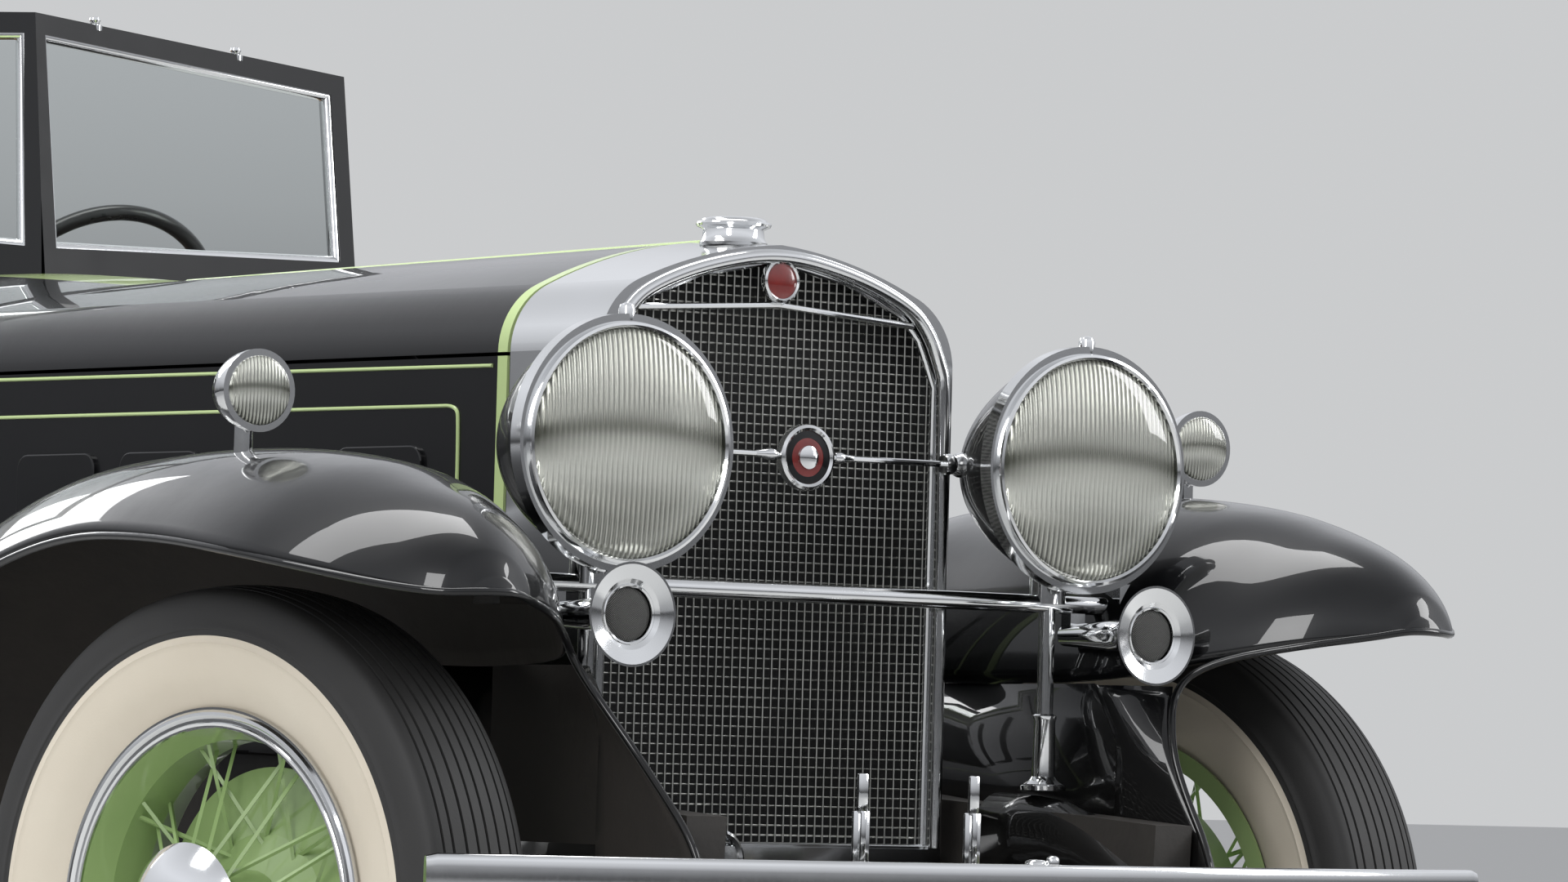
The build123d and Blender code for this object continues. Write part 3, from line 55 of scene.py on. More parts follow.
# %% Camera
front_axle_y = -2.1445
rear_axle_y = front_axle_y + 3.759
hub_z = 0.415
camera_place = (-5.2922, -9.5341, 0.6313)
view_direction = Vector((0.58717, 0.80817, 0.04583)).normalized()
side_direction = view_direction.cross(Vector((0, 0, 1))).normalized()
top_direction = side_direction.cross(view_direction)
roll = 0.027
across = math.cos(roll) * side_direction + math.sin(roll) * top_direction
upward = -math.sin(roll) * side_direction + math.cos(roll) * top_direction
camera_data = bpy.data.cameras.new("camera")
camera_data.lens = 159.375
camera_data.sensor_width = 36.0
camera_data.clip_end = 200.0
camera = bpy.data.objects.new("camera", camera_data)
turn = Matrix((across, upward, -view_direction)).transposed().to_4x4()
camera.matrix_world = Matrix.Translation(camera_place) @ turn
bpy.context.scene.collection.objects.link(camera)
bpy.context.scene.camera = camera
print("camera", [round(v, 3) for v in camera.matrix_world.translation])

# %% [markdown]
# Shader maths reads best as sums, so a small class wraps a socket and gives it the usual operators.
# Each operator adds one Math node. Every other node comes from one method that takes the node's type,
# its settings and the values or links of its sockets. A finish is such a set of nodes round one shader.


# %% Shader helpers
class Level:
    """A number that varies over a surface, held by a socket."""

    def __init__(self, board, socket):
        self.board = board
        self.socket = socket

    def calc(self, operation, *values):
        return self.board.add("ShaderNodeMath", {"operation": operation}, dict(enumerate(values)))[0]

    def __add__(self, other):
        return self.calc("ADD", self, other)

    def __radd__(self, other):
        return self.calc("ADD", other, self)

    def __sub__(self, other):
        return self.calc("SUBTRACT", self, other)

    def __rsub__(self, other):
        return self.calc("SUBTRACT", other, self)

    def __mul__(self, other):
        return self.calc("MULTIPLY", self, other)

    def __rmul__(self, other):
        return self.calc("MULTIPLY", other, self)

    def __truediv__(self, other):
        return self.calc("DIVIDE", self, other)

    def __pow__(self, other):
        return self.calc("POWER", self, other)

    def __gt__(self, other):
        return self.calc("GREATER_THAN", self, other)

    def __lt__(self, other):
        return self.calc("LESS_THAN", self, other)

    def wave(self):
        return self.calc("SINE", self)

    def size(self):
        return self.calc("ABSOLUTE", self)

    def most(self, other):
        return self.calc("MAXIMUM", self, other)

    def bell(self):
        """A smooth hump, 1 where the value is 0 and almost 0 beyond 1.5 either way."""
        return self.calc("EXPONENT", self * self * -1.0)


class Board:
    """A node tree under construction, for a material or for the world."""

    def __init__(self, tree):
        self.tree = tree

    def add(self, kind, settings=None, values=None):
        node = self.tree.nodes.new(kind)
        for setting, value in (settings or {}).items():
            if setting == "stops":
                elements = node.color_ramp.elements
                for place, color in value[1:-1]:
                    elements.new(place)
                for element, (place, color) in zip(elements, value):
                    element.position = place
                    element.color = (*color, 1.0)
            else:
                setattr(node, setting, value)
        for socket_name, value in (values or {}).items():
            self.link(value, node.inputs[socket_name])
        return [Level(self, socket) for socket in node.outputs]

    def link(self, value, socket):
        if isinstance(value, Level):
            self.tree.links.new(value.socket, socket)
        elif isinstance(value, tuple) and len(value) == 3 and len(socket.default_value) == 4:
            socket.default_value = (*value, 1.0)
        else:
            socket.default_value = value

    def parts(self, vector):
        return self.add("ShaderNodeSeparateXYZ", values={"Vector": vector})

    def paint(self, mask, under, over):
        """One colour where the mask is 0, another where it is 1."""
        node = self.tree.nodes.new("ShaderNodeMix")
        node.data_type = "RGBA"
        for index, value in ((0, mask), (6, under), (7, over)):
            self.link(value, node.inputs[index])
        return Level(self, node.outputs[2])


class Finish(Board):
    """A material under construction, with its Principled shader ready."""

    def __init__(self, name, color, roughness=0.5, metallic=0.0, coat=0.0, **fixed):
        self.material = bpy.data.materials.new(name)
        self.material.use_nodes = True
        super().__init__(self.material.node_tree)
        self.shader = self.tree.nodes["Principled BSDF"]
        self.shader.inputs["Base Color"].default_value = (*color, 1.0)
        self.shader.inputs["Roughness"].default_value = roughness
        self.shader.inputs["Metallic"].default_value = metallic
        self.shader.inputs["Coat Weight"].default_value = coat
        for socket_name, value in fixed.items():
            self.shader.inputs[socket_name.replace("_", " ")].default_value = value

    def place(self, centre=(0, 0, 0), turned=(0, 0, 0), scale=(1, 1, 1)):
        """Object coordinates, moved and turned so that a pattern sits on its piece."""
        spot = self.add("ShaderNodeTexCoord")[3]
        return self.add("ShaderNodeMapping", {"vector_type": "TEXTURE"},
                        {"Vector": spot, "Location": centre, "Rotation": turned, "Scale": scale})[0]

    def noise(self, vector, scale, detail=3.0, rough=0.5):
        return self.add("ShaderNodeTexNoise", values={
            "Vector": vector, "Scale": scale, "Detail": detail, "Roughness": rough})[0]

    def spread(self, value, low, high):
        """A value from 0 to 1, made to run from low to high."""
        return self.add("ShaderNodeMapRange", values={"Value": value, "To Min": low, "To Max": high})[0]

    def set(self, socket_name, value):
        self.link(value, self.shader.inputs[socket_name])

    def bump(self, height, depth):
        self.set("Normal", self.add("ShaderNodeBump", values={"Height": height, "Distance": depth})[0])


print("helpers ready")

# %% [markdown]
# The body is coach enamel: a deep black under a polished clear coat, with faint clouds from years of
# polishing and a little dust low down. The clear coat is what mirrors the surroundings, so the colour
# below it stays dull, and only the roughness wanders.

# %% Enamels
deep_black = (0.0022, 0.0024, 0.003)
# Painted light: the hood's pale green is the wheels' paint made lighter, as painted sunlight on the hood.
sunlit_green = (0.46, 0.58, 0.26)
road_dust = (0.22, 0.2, 0.17)
coach_coat = {"coat": 0.8, "Coat_Roughness": 0.015, "Specular_IOR_Level": 0.12}


def enamel(name, color, roughness=0.32, dust=0.02):
    finish = Finish(name, color, roughness, **coach_coat)
    spot = finish.place()
    cloud = finish.noise(spot, 2.2, 5.0, 0.6)
    height = finish.parts(spot)[2]
    low = finish.add("ShaderNodeMapRange", values={"Value": height, "From Min": 0.75, "From Max": 0.2})[0]
    finish.set("Base Color", finish.paint(low * cloud * (dust * 6), color, road_dust))
    finish.set("Roughness", finish.spread(finish.noise(spot, 14.0), roughness - 0.08, roughness + 0.12))
    finish.bump(finish.noise(spot, 60.0, 2.0), 0.00008)
    return finish.material


black_enamel = enamel("black_enamel", deep_black)
sunlit_green_enamel = enamel("sunlit_green_enamel", sunlit_green, 0.38, 0.03)
print("enamels", black_enamel.name, sunlit_green_enamel.name)

# %% [markdown]
# Bright plate on a car of this age is polished metal with fine wipe marks and a few dull clouds.
# A metallic Principled shader does that, with the roughness moved a little by two noises.

# %% Bright plate
plate_tone = (0.80, 0.81, 0.82)
plate_finish = Finish("chrome", plate_tone, 0.05, 1.0)
plate_cloud = plate_finish.noise(plate_finish.place(), 7.0, 4.0)
plate_wipe = plate_finish.noise(plate_finish.place(scale=(1, 0.08, 1)), 90.0, 2.0)
plate_finish.set("Roughness", 0.05 + plate_cloud * 0.06 + plate_wipe * 0.03)
plate_finish.set("Base Color", plate_finish.paint(plate_cloud * 0.35, plate_tone, (0.60, 0.60, 0.58)))
plate_finish.bump(plate_cloud, 0.0002)
chrome = plate_finish.material
print("plate", chrome.name)

# %% [markdown]
# Frame, springs and axles are brushed with satin black and gather road dust, and the engine is cast iron
# in grey paint. Both are one rough coat over a lumpy surface, and so are carpet and rubber.


# %% Working finishes
def plain_coat(name, color, roughness, lumps, depth, dust=(0.16, 0.14, 0.12), share=0.35):
    finish = Finish(name, color, roughness)
    spot = finish.place()
    cloud = finish.noise(spot, 5.0, 6.0, 0.65)
    finish.set("Base Color", finish.paint(cloud * share, color, dust))
    finish.set("Roughness", finish.spread(cloud, roughness - 0.1, roughness + 0.15))
    finish.bump(finish.noise(spot, lumps, 4.0), depth)
    return finish.material


satin_black = plain_coat("satin_black", (0.012, 0.012, 0.012), 0.45, 120.0, 0.0004)
cast_grey = plain_coat("cast_grey", (0.12, 0.125, 0.12), 0.6, 220.0, 0.0008)
carpet = plain_coat("carpet", (0.03, 0.03, 0.028), 0.95, 900.0, 0.003, (0.09, 0.085, 0.075))
hard_rubber = plain_coat("hard_rubber", (0.012, 0.012, 0.012), 0.28, 300.0, 0.0001, (0.05, 0.05, 0.05), 0.2)
print("working finishes", satin_black.name, cast_grey.name, carpet.name, hard_rubber.name)

# %% [markdown]
# Glass in the windscreen is clear with a green edge, so it is a transmitting shader with hardly any tint.
# The dashboard is walnut: stretched noise makes its grain, and a coat its varnish.

# %% Glass and wood
window_glass = Finish("window_glass", (0.93, 0.97, 0.95), 0.02, Transmission_Weight=1.0, IOR=1.1).material
walnut_finish = Finish("walnut", (0.14, 0.06, 0.025), 0.35, coat=0.8)
grain = walnut_finish.noise(walnut_finish.place(scale=(1.0, 0.1, 0.08)), 6.0, 8.0, 0.6)
walnut_finish.set("Base Color", walnut_finish.paint(grain, (0.05, 0.02, 0.008), (0.26, 0.12, 0.05)))
walnut_finish.bump(grain, 0.0003)
walnut = walnut_finish.material
print("glass and wood", window_glass.name, walnut.name)

# %% [markdown]
# The hide on the seats is tan, creased and worn paler where people slide over it. The folded top is tan
# canvas, a plain weave of two crossed waves about a millimetre apart.

# %% Hide and canvas
hide_finish = Finish("tan_hide", (0.30, 0.16, 0.075), 0.5)
hide_spot = hide_finish.place()
hide_cloud = hide_finish.noise(hide_spot, 6.0, 5.0, 0.6)
hide_cells = hide_finish.add("ShaderNodeTexVoronoi", {"feature": "DISTANCE_TO_EDGE"},
                             {"Vector": hide_spot, "Scale": 320.0})[0]
hide_finish.set("Base Color", hide_finish.paint(hide_cloud, (0.22, 0.11, 0.05), (0.40, 0.24, 0.12)))
hide_finish.set("Roughness", hide_finish.spread(hide_cloud, 0.38, 0.6))
hide_finish.bump(hide_cells * 0.5 + hide_cloud * 0.5, 0.0012)
tan_hide = hide_finish.material

canvas_finish = Finish("tan_canvas", (0.42, 0.36, 0.27), 0.9)
canvas_x, canvas_y, canvas_z = canvas_finish.parts(canvas_finish.place())
weave = ((canvas_x + canvas_z) * 3100.0).wave() * ((canvas_y + canvas_z) * 3100.0).wave()
canvas_cloud = canvas_finish.noise(canvas_finish.place(), 4.0, 6.0, 0.6)
canvas_finish.set("Base Color", canvas_finish.paint(canvas_cloud, (0.34, 0.29, 0.21), (0.5, 0.44, 0.34)))
canvas_finish.set("Roughness", canvas_finish.spread(canvas_cloud, 0.82, 0.98))
canvas_finish.bump(weave * 0.5 + canvas_cloud * 2.0, 0.0015)
tan_canvas = canvas_finish.material
print("soft finishes", tan_hide.name, tan_canvas.name)

# %% [markdown]
# Each solid that keeps its CAD shape now takes one of these finishes in its material slots.

# %% Dress the solids
plated = ("radiator_shell", "radiator_cap", "headlamp_rims", "fender_lamps", "horns", "lamp_bar",
          "front_bumper", "rear_bumper", "radiator_screen", "tail_lamps")
working = ("chassis_frame", "axles", "leaf_springs", "knuckle_left", "knuckle_right", "tie_rod", "exhaust",
           "fuel_tank", "steering_column", "radiator_core")
special = {"engine_block": cast_grey, "windscreen_glass": window_glass, "dashboard": walnut,
           "floor_pan": carpet, "seat_frames": carpet, "steering_wheel": hard_rubber}


def dress(name, material):
    node = nodes[name]
    if not node.data.materials:
        node.data.materials.append(material)
    for material_slot in node.material_slots:
        material_slot.link = "OBJECT"
        material_slot.material = material


for node_name in nodes:
    plain = chrome if node_name in plated else satin_black if node_name in working else black_enamel
    dress(node_name, special.get(node_name, plain))
print("dressed", len(nodes))

# %% [markdown]
# Small makers for new pieces. Each starts from a bmesh shape, a short profile or rows of points, and moves
# the mesh to its place, so the object itself stays at the origin. Most pieces are chrome and ride on the
# chassis, so these are the usual values.

# %% Piece makers
shift = Matrix.Translation
sides = ((-1, "right"), (1, "left"))
near_enough = 0.00002


def at(x, y, z):
    """A point whose second value is measured back from the front axle."""
    return Vector((x, front_axle_y + y, z))


def keep(name, bm, material, body="chassis", smooth=True, auto=35.0):
    """Turns a bmesh into a piece that rides on a body."""
    mesh = bpy.data.meshes.new(name)
    bm.to_mesh(mesh)
    bm.free()
    mesh.materials.append(material)
    if smooth:
        mesh.shade_smooth()
        mesh.set_sharp_from_angle(angle=math.radians(auto))
    piece = bpy.data.objects.new(name, mesh)
    bpy.context.scene.collection.objects.link(piece)
    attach(piece, body)
    return piece


def stand_in(piece, node_name):
    """Hides the solid of the frame whose place a piece takes."""
    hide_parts(node_name)


def spun(profile, steps):
    """A profile of (along, out) points turned round the X axis. One that ends off the axis is closed."""
    bm = bmesh.new()
    points = [bm.verts.new((along, out, 0)) for along, out in profile]
    if profile[-1][1] > near_enough:
        points.append(points[0])
    for first, second in zip(points, points[1:]):
        bm.edges.new((first, second))
    bmesh.ops.spin(bm, geom=bm.verts[:] + bm.edges[:], cent=(0, 0, 0), axis=(1, 0, 0),
                   angle=math.tau, steps=steps, use_merge=True)
    bmesh.ops.remove_doubles(bm, verts=bm.verts, dist=near_enough)
    bmesh.ops.recalc_face_normals(bm, faces=bm.faces)
    return bm


def facing(centre, direction):
    """A placing matrix that turns the X axis to a direction."""
    quaternion = Vector((1, 0, 0)).rotation_difference(Vector(direction))
    return shift(centre) @ quaternion.to_matrix().to_4x4()


def lathe(name, profile, place, material=chrome, steps=48, body="chassis"):
    bm = spun(profile, steps)
    bm.transform(place)
    return keep(name, bm, material, body)


def rod(name, points, radius, material=chrome, curved=False, sides_to_bend=3):
    """A round bar along a line of points."""
    curve = bpy.data.curves.new(name, "CURVE")
    curve.dimensions = "3D"
    curve.bevel_depth = radius
    curve.bevel_resolution = sides_to_bend
    curve.use_fill_caps = True
    spline = curve.splines.new("NURBS" if curved else "POLY")
    spline.points.add(len(points) - 1)
    for point, place in zip(spline.points, points):
        point.co = (*place, 1.0)
    if curved:
        spline.order_u = 3
        spline.use_endpoint_u = True
    line = bpy.data.objects.new(name + "_line", curve)
    bpy.context.scene.collection.objects.link(line)
    mesh = bpy.data.meshes.new_from_object(line.evaluated_get(bpy.context.evaluated_depsgraph_get()))
    bpy.data.objects.remove(line)
    bm = bmesh.new()
    bm.from_mesh(mesh)
    bpy.data.meshes.remove(mesh)
    return keep(name, bm, material)


def slab(size, rounding, rings=2):
    """A box about the origin with rounded edges."""
    bm = bmesh.new()
    bmesh.ops.create_cube(bm, size=1.0)
    bmesh.ops.scale(bm, vec=size, verts=bm.verts)
    bmesh.ops.bevel(bm, geom=bm.edges[:], offset=rounding, segments=rings, affect="EDGES", profile=0.5,
                    material=-1)
    return bm


def join(bm, other, place):
    """Adds a second bmesh, moved to its place, to the first."""
    other.transform(place)
    mesh = bpy.data.meshes.new("step")
    other.to_mesh(mesh)
    other.free()
    bm.from_mesh(mesh)
    bpy.data.meshes.remove(mesh)


def grid_faces(bm, grid, closed=False):
    """Faces between rows of vertices. A closed grid joins each row's end to its start."""
    for first, second in zip(grid, grid[1:]):
        if closed:
            first, second = first + first[:1], second + second[:1]
        for corners in zip(first, first[1:], second[1:], second):
            bm.faces.new(corners)


def capped_tube(bm, rings):
    """Rings of vertices joined to a closed tube with flat ends."""
    grid_faces(bm, rings, True)
    bm.faces.new(rings[0])
    bm.faces.new(rings[-1][::-1])


def thicken(piece, thick, offset=0.0):
    wall = piece.modifiers.new("wall", "SOLIDIFY")
    wall.thickness = thick
    wall.offset = offset


def pressed(name, bm, material, thick):
    """A piece of sheet: the mesh is merged and turned outwards before it gets its thickness."""
    bmesh.ops.remove_doubles(bm, verts=bm.verts, dist=near_enough)
    bmesh.ops.recalc_face_normals(bm, faces=bm.faces)
    piece = keep(name, bm, material, auto=60.0)
    thicken(piece, thick)
    return piece


print("makers ready")

# %% [markdown]
# The stage is a wide pale floor under large soft lamps. The world is brighter overhead and darker at the
# horizon, so that chrome and black paint have something to show, and the camera sees plain pale grey.

# %% Stage and light
bm = bmesh.new()
bmesh.ops.create_grid(bm, x_segments=1, y_segments=1, size=60.0)
floor_mesh = bpy.data.meshes.new("studio_floor")
bm.to_mesh(floor_mesh)
bm.free()
floor = bpy.data.objects.new("studio_floor", floor_mesh)
bpy.context.scene.collection.objects.link(floor)
floor_mesh.materials.append(Finish("studio_floor", (0.52, 0.52, 0.51), 0.7).material)

world = bpy.data.worlds.new("studio")
bpy.context.scene.world = world
world.use_nodes = True
sky = Board(world.node_tree)
sky_height = sky.parts(sky.add("ShaderNodeTexCoord")[0])[2]
sky_share = sky.add("ShaderNodeMapRange", values={"Value": sky_height, "From Min": -1.0})[0]
sky_tones = ((0.0, 0.34), (0.490, 0.10), (0.505, 0.05), (0.54, 0.42), (0.60, 0.75), (0.72, 1.0), (1.0, 0.50))
sky_stops = [(place, (tone * 0.97, tone * 0.99, tone * 1.04)) for place, tone in sky_tones]
sky_color = sky.add("ShaderNodeValToRGB", {"stops": sky_stops}, {0: sky_share})[0]
camera_ray = sky.add("ShaderNodeLightPath")[0]
background = sky.tree.nodes["Background"]
sky.link(sky.paint(camera_ray, sky_color, (0.66, 0.67, 0.68)), background.inputs["Color"])
background.inputs["Strength"].default_value = 0.9

for lamp_name, place, target, width, height, power in (
        ("overhead", (-1.5, -1.0, 6.5), (0, -1.0, 0), 2.2, 9.0, 400),
        ("front_right", (-6.5, -7.0, 4.5), (0, -1.8, 0.8), 2.0, 4.0, 210),
        ("front_left", (6.5, -6.0, 4.0), (0, -1.5, 0.8), 2.0, 4.0, 210),
        ("rear_fill", (0.0, 8.0, 5.0), (0, 1.0, 0.8), 4.0, 3.0, 200)):
    lamp_data = bpy.data.lights.new(lamp_name, "AREA")
    lamp_data.shape = "RECTANGLE"
    lamp_data.size = width
    lamp_data.size_y = height
    lamp_data.energy = power
    lamp = bpy.data.objects.new(lamp_name, lamp_data)
    aim = (Vector(target) - Vector(place)).to_track_quat("-Z", "Y")
    lamp.matrix_world = shift(place) @ aim.to_matrix().to_4x4()
    bpy.context.scene.collection.objects.link(lamp)
bpy.context.scene.view_settings.view_transform = "Standard"
print("stage set", [round(stop.position, 3) for stop in sky_color.socket.node.color_ramp.elements])

# %% [markdown]
# The tyres are the nearest big shape in the picture. Each has a cream side band with a raised ring, smooth
# black shoulders, and straight grooves round the tread. A short profile is spun about the axle, so the
# grooves are real and catch the light.

# %% Tyre finish
steer = math.radians(12.0)
kingpin_x = 0.590
hub_x = 0.750


def steered_hub(side):
    reach = side * (hub_x - kingpin_x)
    return at(side * kingpin_x + math.cos(steer) * reach, math.sin(steer) * reach, hub_z)


wheel_places = {
    "front_left": (steered_hub(1), steer, 1),
    "front_right": (steered_hub(-1), steer, -1),
    "rear_left": (Vector((0.765, rear_axle_y, hub_z)), 0.0, 1),
    "rear_right": (Vector((-0.765, rear_axle_y, hub_z)), 0.0, -1),
    "spare": (at(0, 4.8, 0.85), math.radians(90), 1),
}


def on_wheel(name, piece_name, profile, material, steps):
    """A turned piece that sits on a wheel and rides with it."""
    centre, angle, side = wheel_places[name]
    place = shift(centre) @ Matrix.Rotation(angle, 4, "Z") @ Matrix.Scale(side, 4, (1, 0, 0))
    body = "chassis" if name == "spare" else name + "_wheel"
    return lathe(piece_name + name, profile, place, material, steps, body)


def radius_of(finish, name):
    """Distance from the axle, and distance along it, for a pattern that turns with the wheel."""
    centre, angle, side = wheel_places[name]
    along, fore, up = finish.parts(finish.place(centre, (0, 0, angle)))
    return (fore * fore + up * up) ** 0.5, along * side


def tyre_finish(name):
    finish = Finish("tyre_" + name, (0.02, 0.02, 0.02), 0.65)
    out, along = radius_of(finish, name)
    cloud = finish.noise(finish.place(), 5.0, 6.0, 0.6)
    band = (out > 0.2585) * (out < 0.3500)
    cream = finish.paint(cloud, (0.62, 0.55, 0.44), (0.72, 0.66, 0.55))
    black = finish.paint(cloud, (0.012, 0.012, 0.012), (0.035, 0.034, 0.033))
    finish.set("Base Color", finish.paint(band, black, cream))
    finish.set("Roughness", finish.spread(cloud, 0.5, 0.72))
    finish.bump(cloud + finish.noise(finish.place(), 400.0, 2.0) * 0.2, 0.0006)
    return finish.material


half_profile = [
    (0.044, 0.252), (0.058, 0.256), (0.066, 0.268), (0.078, 0.288), (0.0865, 0.312), (0.0890, 0.334),
    (0.0902, 0.3395), (0.0912, 0.3410), (0.0902, 0.3425), (0.0896, 0.348), (0.0888, 0.3570), (0.0900, 0.3585),
    (0.0898, 0.3610), (0.0884, 0.3630), (0.0876, 0.372), (0.0862, 0.382), (0.0840, 0.391), (0.0808, 0.399),
    (0.0765, 0.4045), (0.0700, 0.4075), (0.0640, 0.4092), (0.0635, 0.4030), (0.0610, 0.4030),
    (0.0605, 0.4100), (0.0500, 0.4116), (0.0495, 0.4050), (0.0465, 0.4050), (0.0460, 0.4122),
    (0.0300, 0.4140), (0.0295, 0.4070), (0.0262, 0.4070), (0.0257, 0.4144), (0.0110, 0.4150),
    (0.0105, 0.4078), (0.0072, 0.4078), (0.0067, 0.4150),
]
tyre_profile = half_profile + [(-along, out) for along, out in reversed(half_profile)]
for wheel_name in wheel_places:
    tyre = on_wheel(wheel_name, "tyre_skin_", tyre_profile, tyre_finish(wheel_name), 160)
    stand_in(tyre, "tyre_" + wheel_name)
print("tyres", len(wheel_places), "faces each", len(tyre.data.polygons))

# %% [markdown]
# The wire wheels are pale green, with a bright ring inside the tyre bead and a bright hub cap. The solid
# already has spokes, rim and drum in one piece, so one material reads the distance from the axle and
# turns from enamel to plate where the real wheel does. A turned ring gives the bright edge its steps.


# %% Wheel finish
def wheel_finish(name):
    finish = Finish("wheel_" + name, (0.34, 0.46, 0.22), 0.35, coat=0.8, Coat_Roughness=0.05)
    out, along = radius_of(finish, name)
    cloud = finish.noise(finish.place(), 6.0, 4.0)
    ring = (out > 0.2360) * (along > 0.030)
    cap = (out < 0.098) * (along > 0.100)
    bright = ring.most(cap)
    # Painted shade: this green is the hood's paint kept darker on the wheels, so wheels and hood are shaded
    # and lit copies of one paint.
    green = finish.paint(cloud, (0.28, 0.41, 0.16), (0.36, 0.49, 0.21))
    finish.set("Base Color", finish.paint(bright, green, plate_tone))
    finish.set("Metallic", bright)
    finish.set("Roughness", 0.34 - bright * 0.26 + cloud * 0.05)
    return finish.material


rim_profile = [(0.0600, 0.2370), (0.0680, 0.2375), (0.0715, 0.2395), (0.0722, 0.2425), (0.0700, 0.2450),
               (0.0690, 0.2462), (0.0720, 0.2485), (0.0745, 0.2520), (0.0740, 0.2560), (0.0710, 0.2590),
               (0.0600, 0.2590)]
for wheel_name in wheel_places:
    dress("wheel_" + wheel_name, wheel_finish(wheel_name))
    on_wheel(wheel_name, "rim_ring_", rim_profile, chrome, 96)
print("wheels dressed", len(wheel_places))

# %% [markdown]
# A headlamp glass is a shallow dome with upright flutes and a few broad cross bands. Behind it a silvered
# bowl throws the daylight back, so the glass looks grey-gold rather than clear. The flutes are bump, cut at
# their real pitch, with painted highlights along them. The bowl's glow is a painted reflection, in soft
# light and dark bands under a glassy coat, and painted shade darkens the rim.


# %% Lamp glasses
def lamp_glass(name, centre_x, centre_z, radius, pitch):
    finish = Finish(name, (0.5, 0.5, 0.42), 0.16, 0.6, coat=1.0, Coat_Roughness=0.01)
    x, _, z = finish.parts(finish.place((centre_x, 0, centre_z)))
    flute = (x * (math.tau / pitch)).wave()
    slow = finish.noise(finish.place((centre_x, 0, centre_z), scale=(1.6, 1, 0.5)), 0.9 / radius, 2.0)
    bow = z / radius + (x / radius) * (x / radius) * 0.10

    def hump(middle, width):
        return ((bow - middle) / width).bell()

    fluted = 1.0 - hump(0.02, 0.30) * 0.75
    edge = (((x * x + z * z) ** 0.5) / radius) ** 8.0
    # Painted light: the humps paint the bowl's reflection as light and dark bands, the flute term paints
    # highlights along the flutes, and the edge term paints shade at the rim.
    level = 0.30 + hump(-0.20, 0.20) * 0.50 - hump(0.14, 0.09) * 0.30 + hump(0.62, 0.25) * 0.12 + slow * 0.30
    tone = finish.add("ShaderNodeClamp", values={"Value": level + flute * fluted * 0.14 - edge * 0.25})[0]
    finish.set("Base Color", finish.paint(tone, (0.07, 0.073, 0.05), (0.90, 0.91, 0.82)))
    finish.set("Roughness", 0.12 + slow * 0.12)
    finish.bump(flute * fluted, pitch * 0.20)
    return finish.material


def dome(radius, rise, edge):
    """Half the outline of a shallow glass, from its rim to its middle."""
    steps = 10
    points = [(-edge, radius), (0.0, radius)]
    for index in range(1, steps + 1):
        angle = index / steps * math.pi / 2
        points.append((rise * math.sin(angle), radius * math.cos(angle)))
    return points


forward = (0, -1, 0)
headlamp_x = 0.367
headlamp_z = 1.020
headlamp_y = -0.280
lamp_kinds = (("headlamp_glass_", headlamp_x, headlamp_y, headlamp_z, 0.145, 0.016, 0.0076, 96),
              ("fender_lamp_glass_", 0.757, -0.036, 1.072, 0.044, 0.006, 0.0050, 64))
for side, word in sides:
    for kind, x, y, z, radius, rise, pitch, steps in lamp_kinds:
        glow = lamp_glass(kind + word, side * x, z, radius, pitch)
        face = facing(at(side * x, y - 0.002, z), forward)
        glass = lathe(kind + word, dome(radius - 0.0005, rise, 0.003), face, glow, steps)
        stand_in(glass, "lamp_lenses")
print("glasses", len(sides) * len(lamp_kinds))

# %% [markdown]
# The hood carries the pale green of the wheels in a band next to the radiator and in a strip along its
# crest that widens towards the windscreen. Both are painted on the real car, so they are painted here:
# one finish compares its coordinates with the band's edges, and serves tops, sides and cowl alike.


# %% Green bands
def banded(name, front_band):
    finish = Finish(name, deep_black, 0.28, **coach_coat)
    spot = finish.place()
    x, y, z = finish.parts(spot)
    crest = x.size() < (0.046 + (y - front_axle_y) * 0.042)
    nose = y < (front_axle_y + front_band)
    cloud = finish.noise(spot, 3.0, 4.0)
    black = finish.paint(cloud * 0.3, deep_black, (0.008, 0.008, 0.009))
    # The green of the band and crest is the wheels' paint made lighter, as painted sunlight.
    finish.set("Base Color", finish.paint((crest * (z > 1.2)).most(nose), black, sunlit_green))
    finish.set("Roughness", finish.spread(cloud, 0.24, 0.4))
    finish.bump(finish.noise(spot, 40.0, 2.0), 0.0001)
    return finish.material


hood_paint = banded("hood_paint", 0.116)
for node_name in ("hood_top_left", "hood_top_right", "hood_side_left", "hood_side_right", "hood_hinge"):
    dress(node_name, hood_paint)
dress("cowl", banded("cowl_paint", -1.0))
print("bands painted")

# %% [markdown]
# The hood side has a thin bead under the hinge line, another round a field, and four ventilator doors in
# that field. They follow the side's slant in plan, so their places come from one small formula. The beads
# are tubes along a line, and each door is a rounded plate, bevelled so that its edge shines.

# %% Hood side trim
hood_flare = 0.140
hood_length = 1.298


def hood_side(side, y, z, proud=0.001):
    """A point on the hood's side at a distance behind the front axle."""
    return at(side * (0.300 + hood_flare * (y - 0.097) / hood_length + proud), y, z)


def rounded_plate(depth, width, height, corner, edge):
    bm = bmesh.new()
    bmesh.ops.create_cube(bm, size=1.0)
    bmesh.ops.scale(bm, vec=(depth, width, height), verts=bm.verts)
    corners = [e for e in bm.edges if abs((e.verts[0].co - e.verts[1].co).x) > depth / 2]
    bmesh.ops.bevel(bm, geom=corners, offset=corner, segments=6, affect="EDGES", profile=0.5, material=-1)
    rims = [e for e in bm.edges if abs((e.verts[0].co - e.verts[1].co).x) < depth / 2
            and len(e.link_faces) == 2 and e.calc_face_angle(0) > 1.0]
    bmesh.ops.bevel(bm, geom=rims, offset=edge, segments=2, affect="EDGES", profile=0.5, material=-1)
    return bm


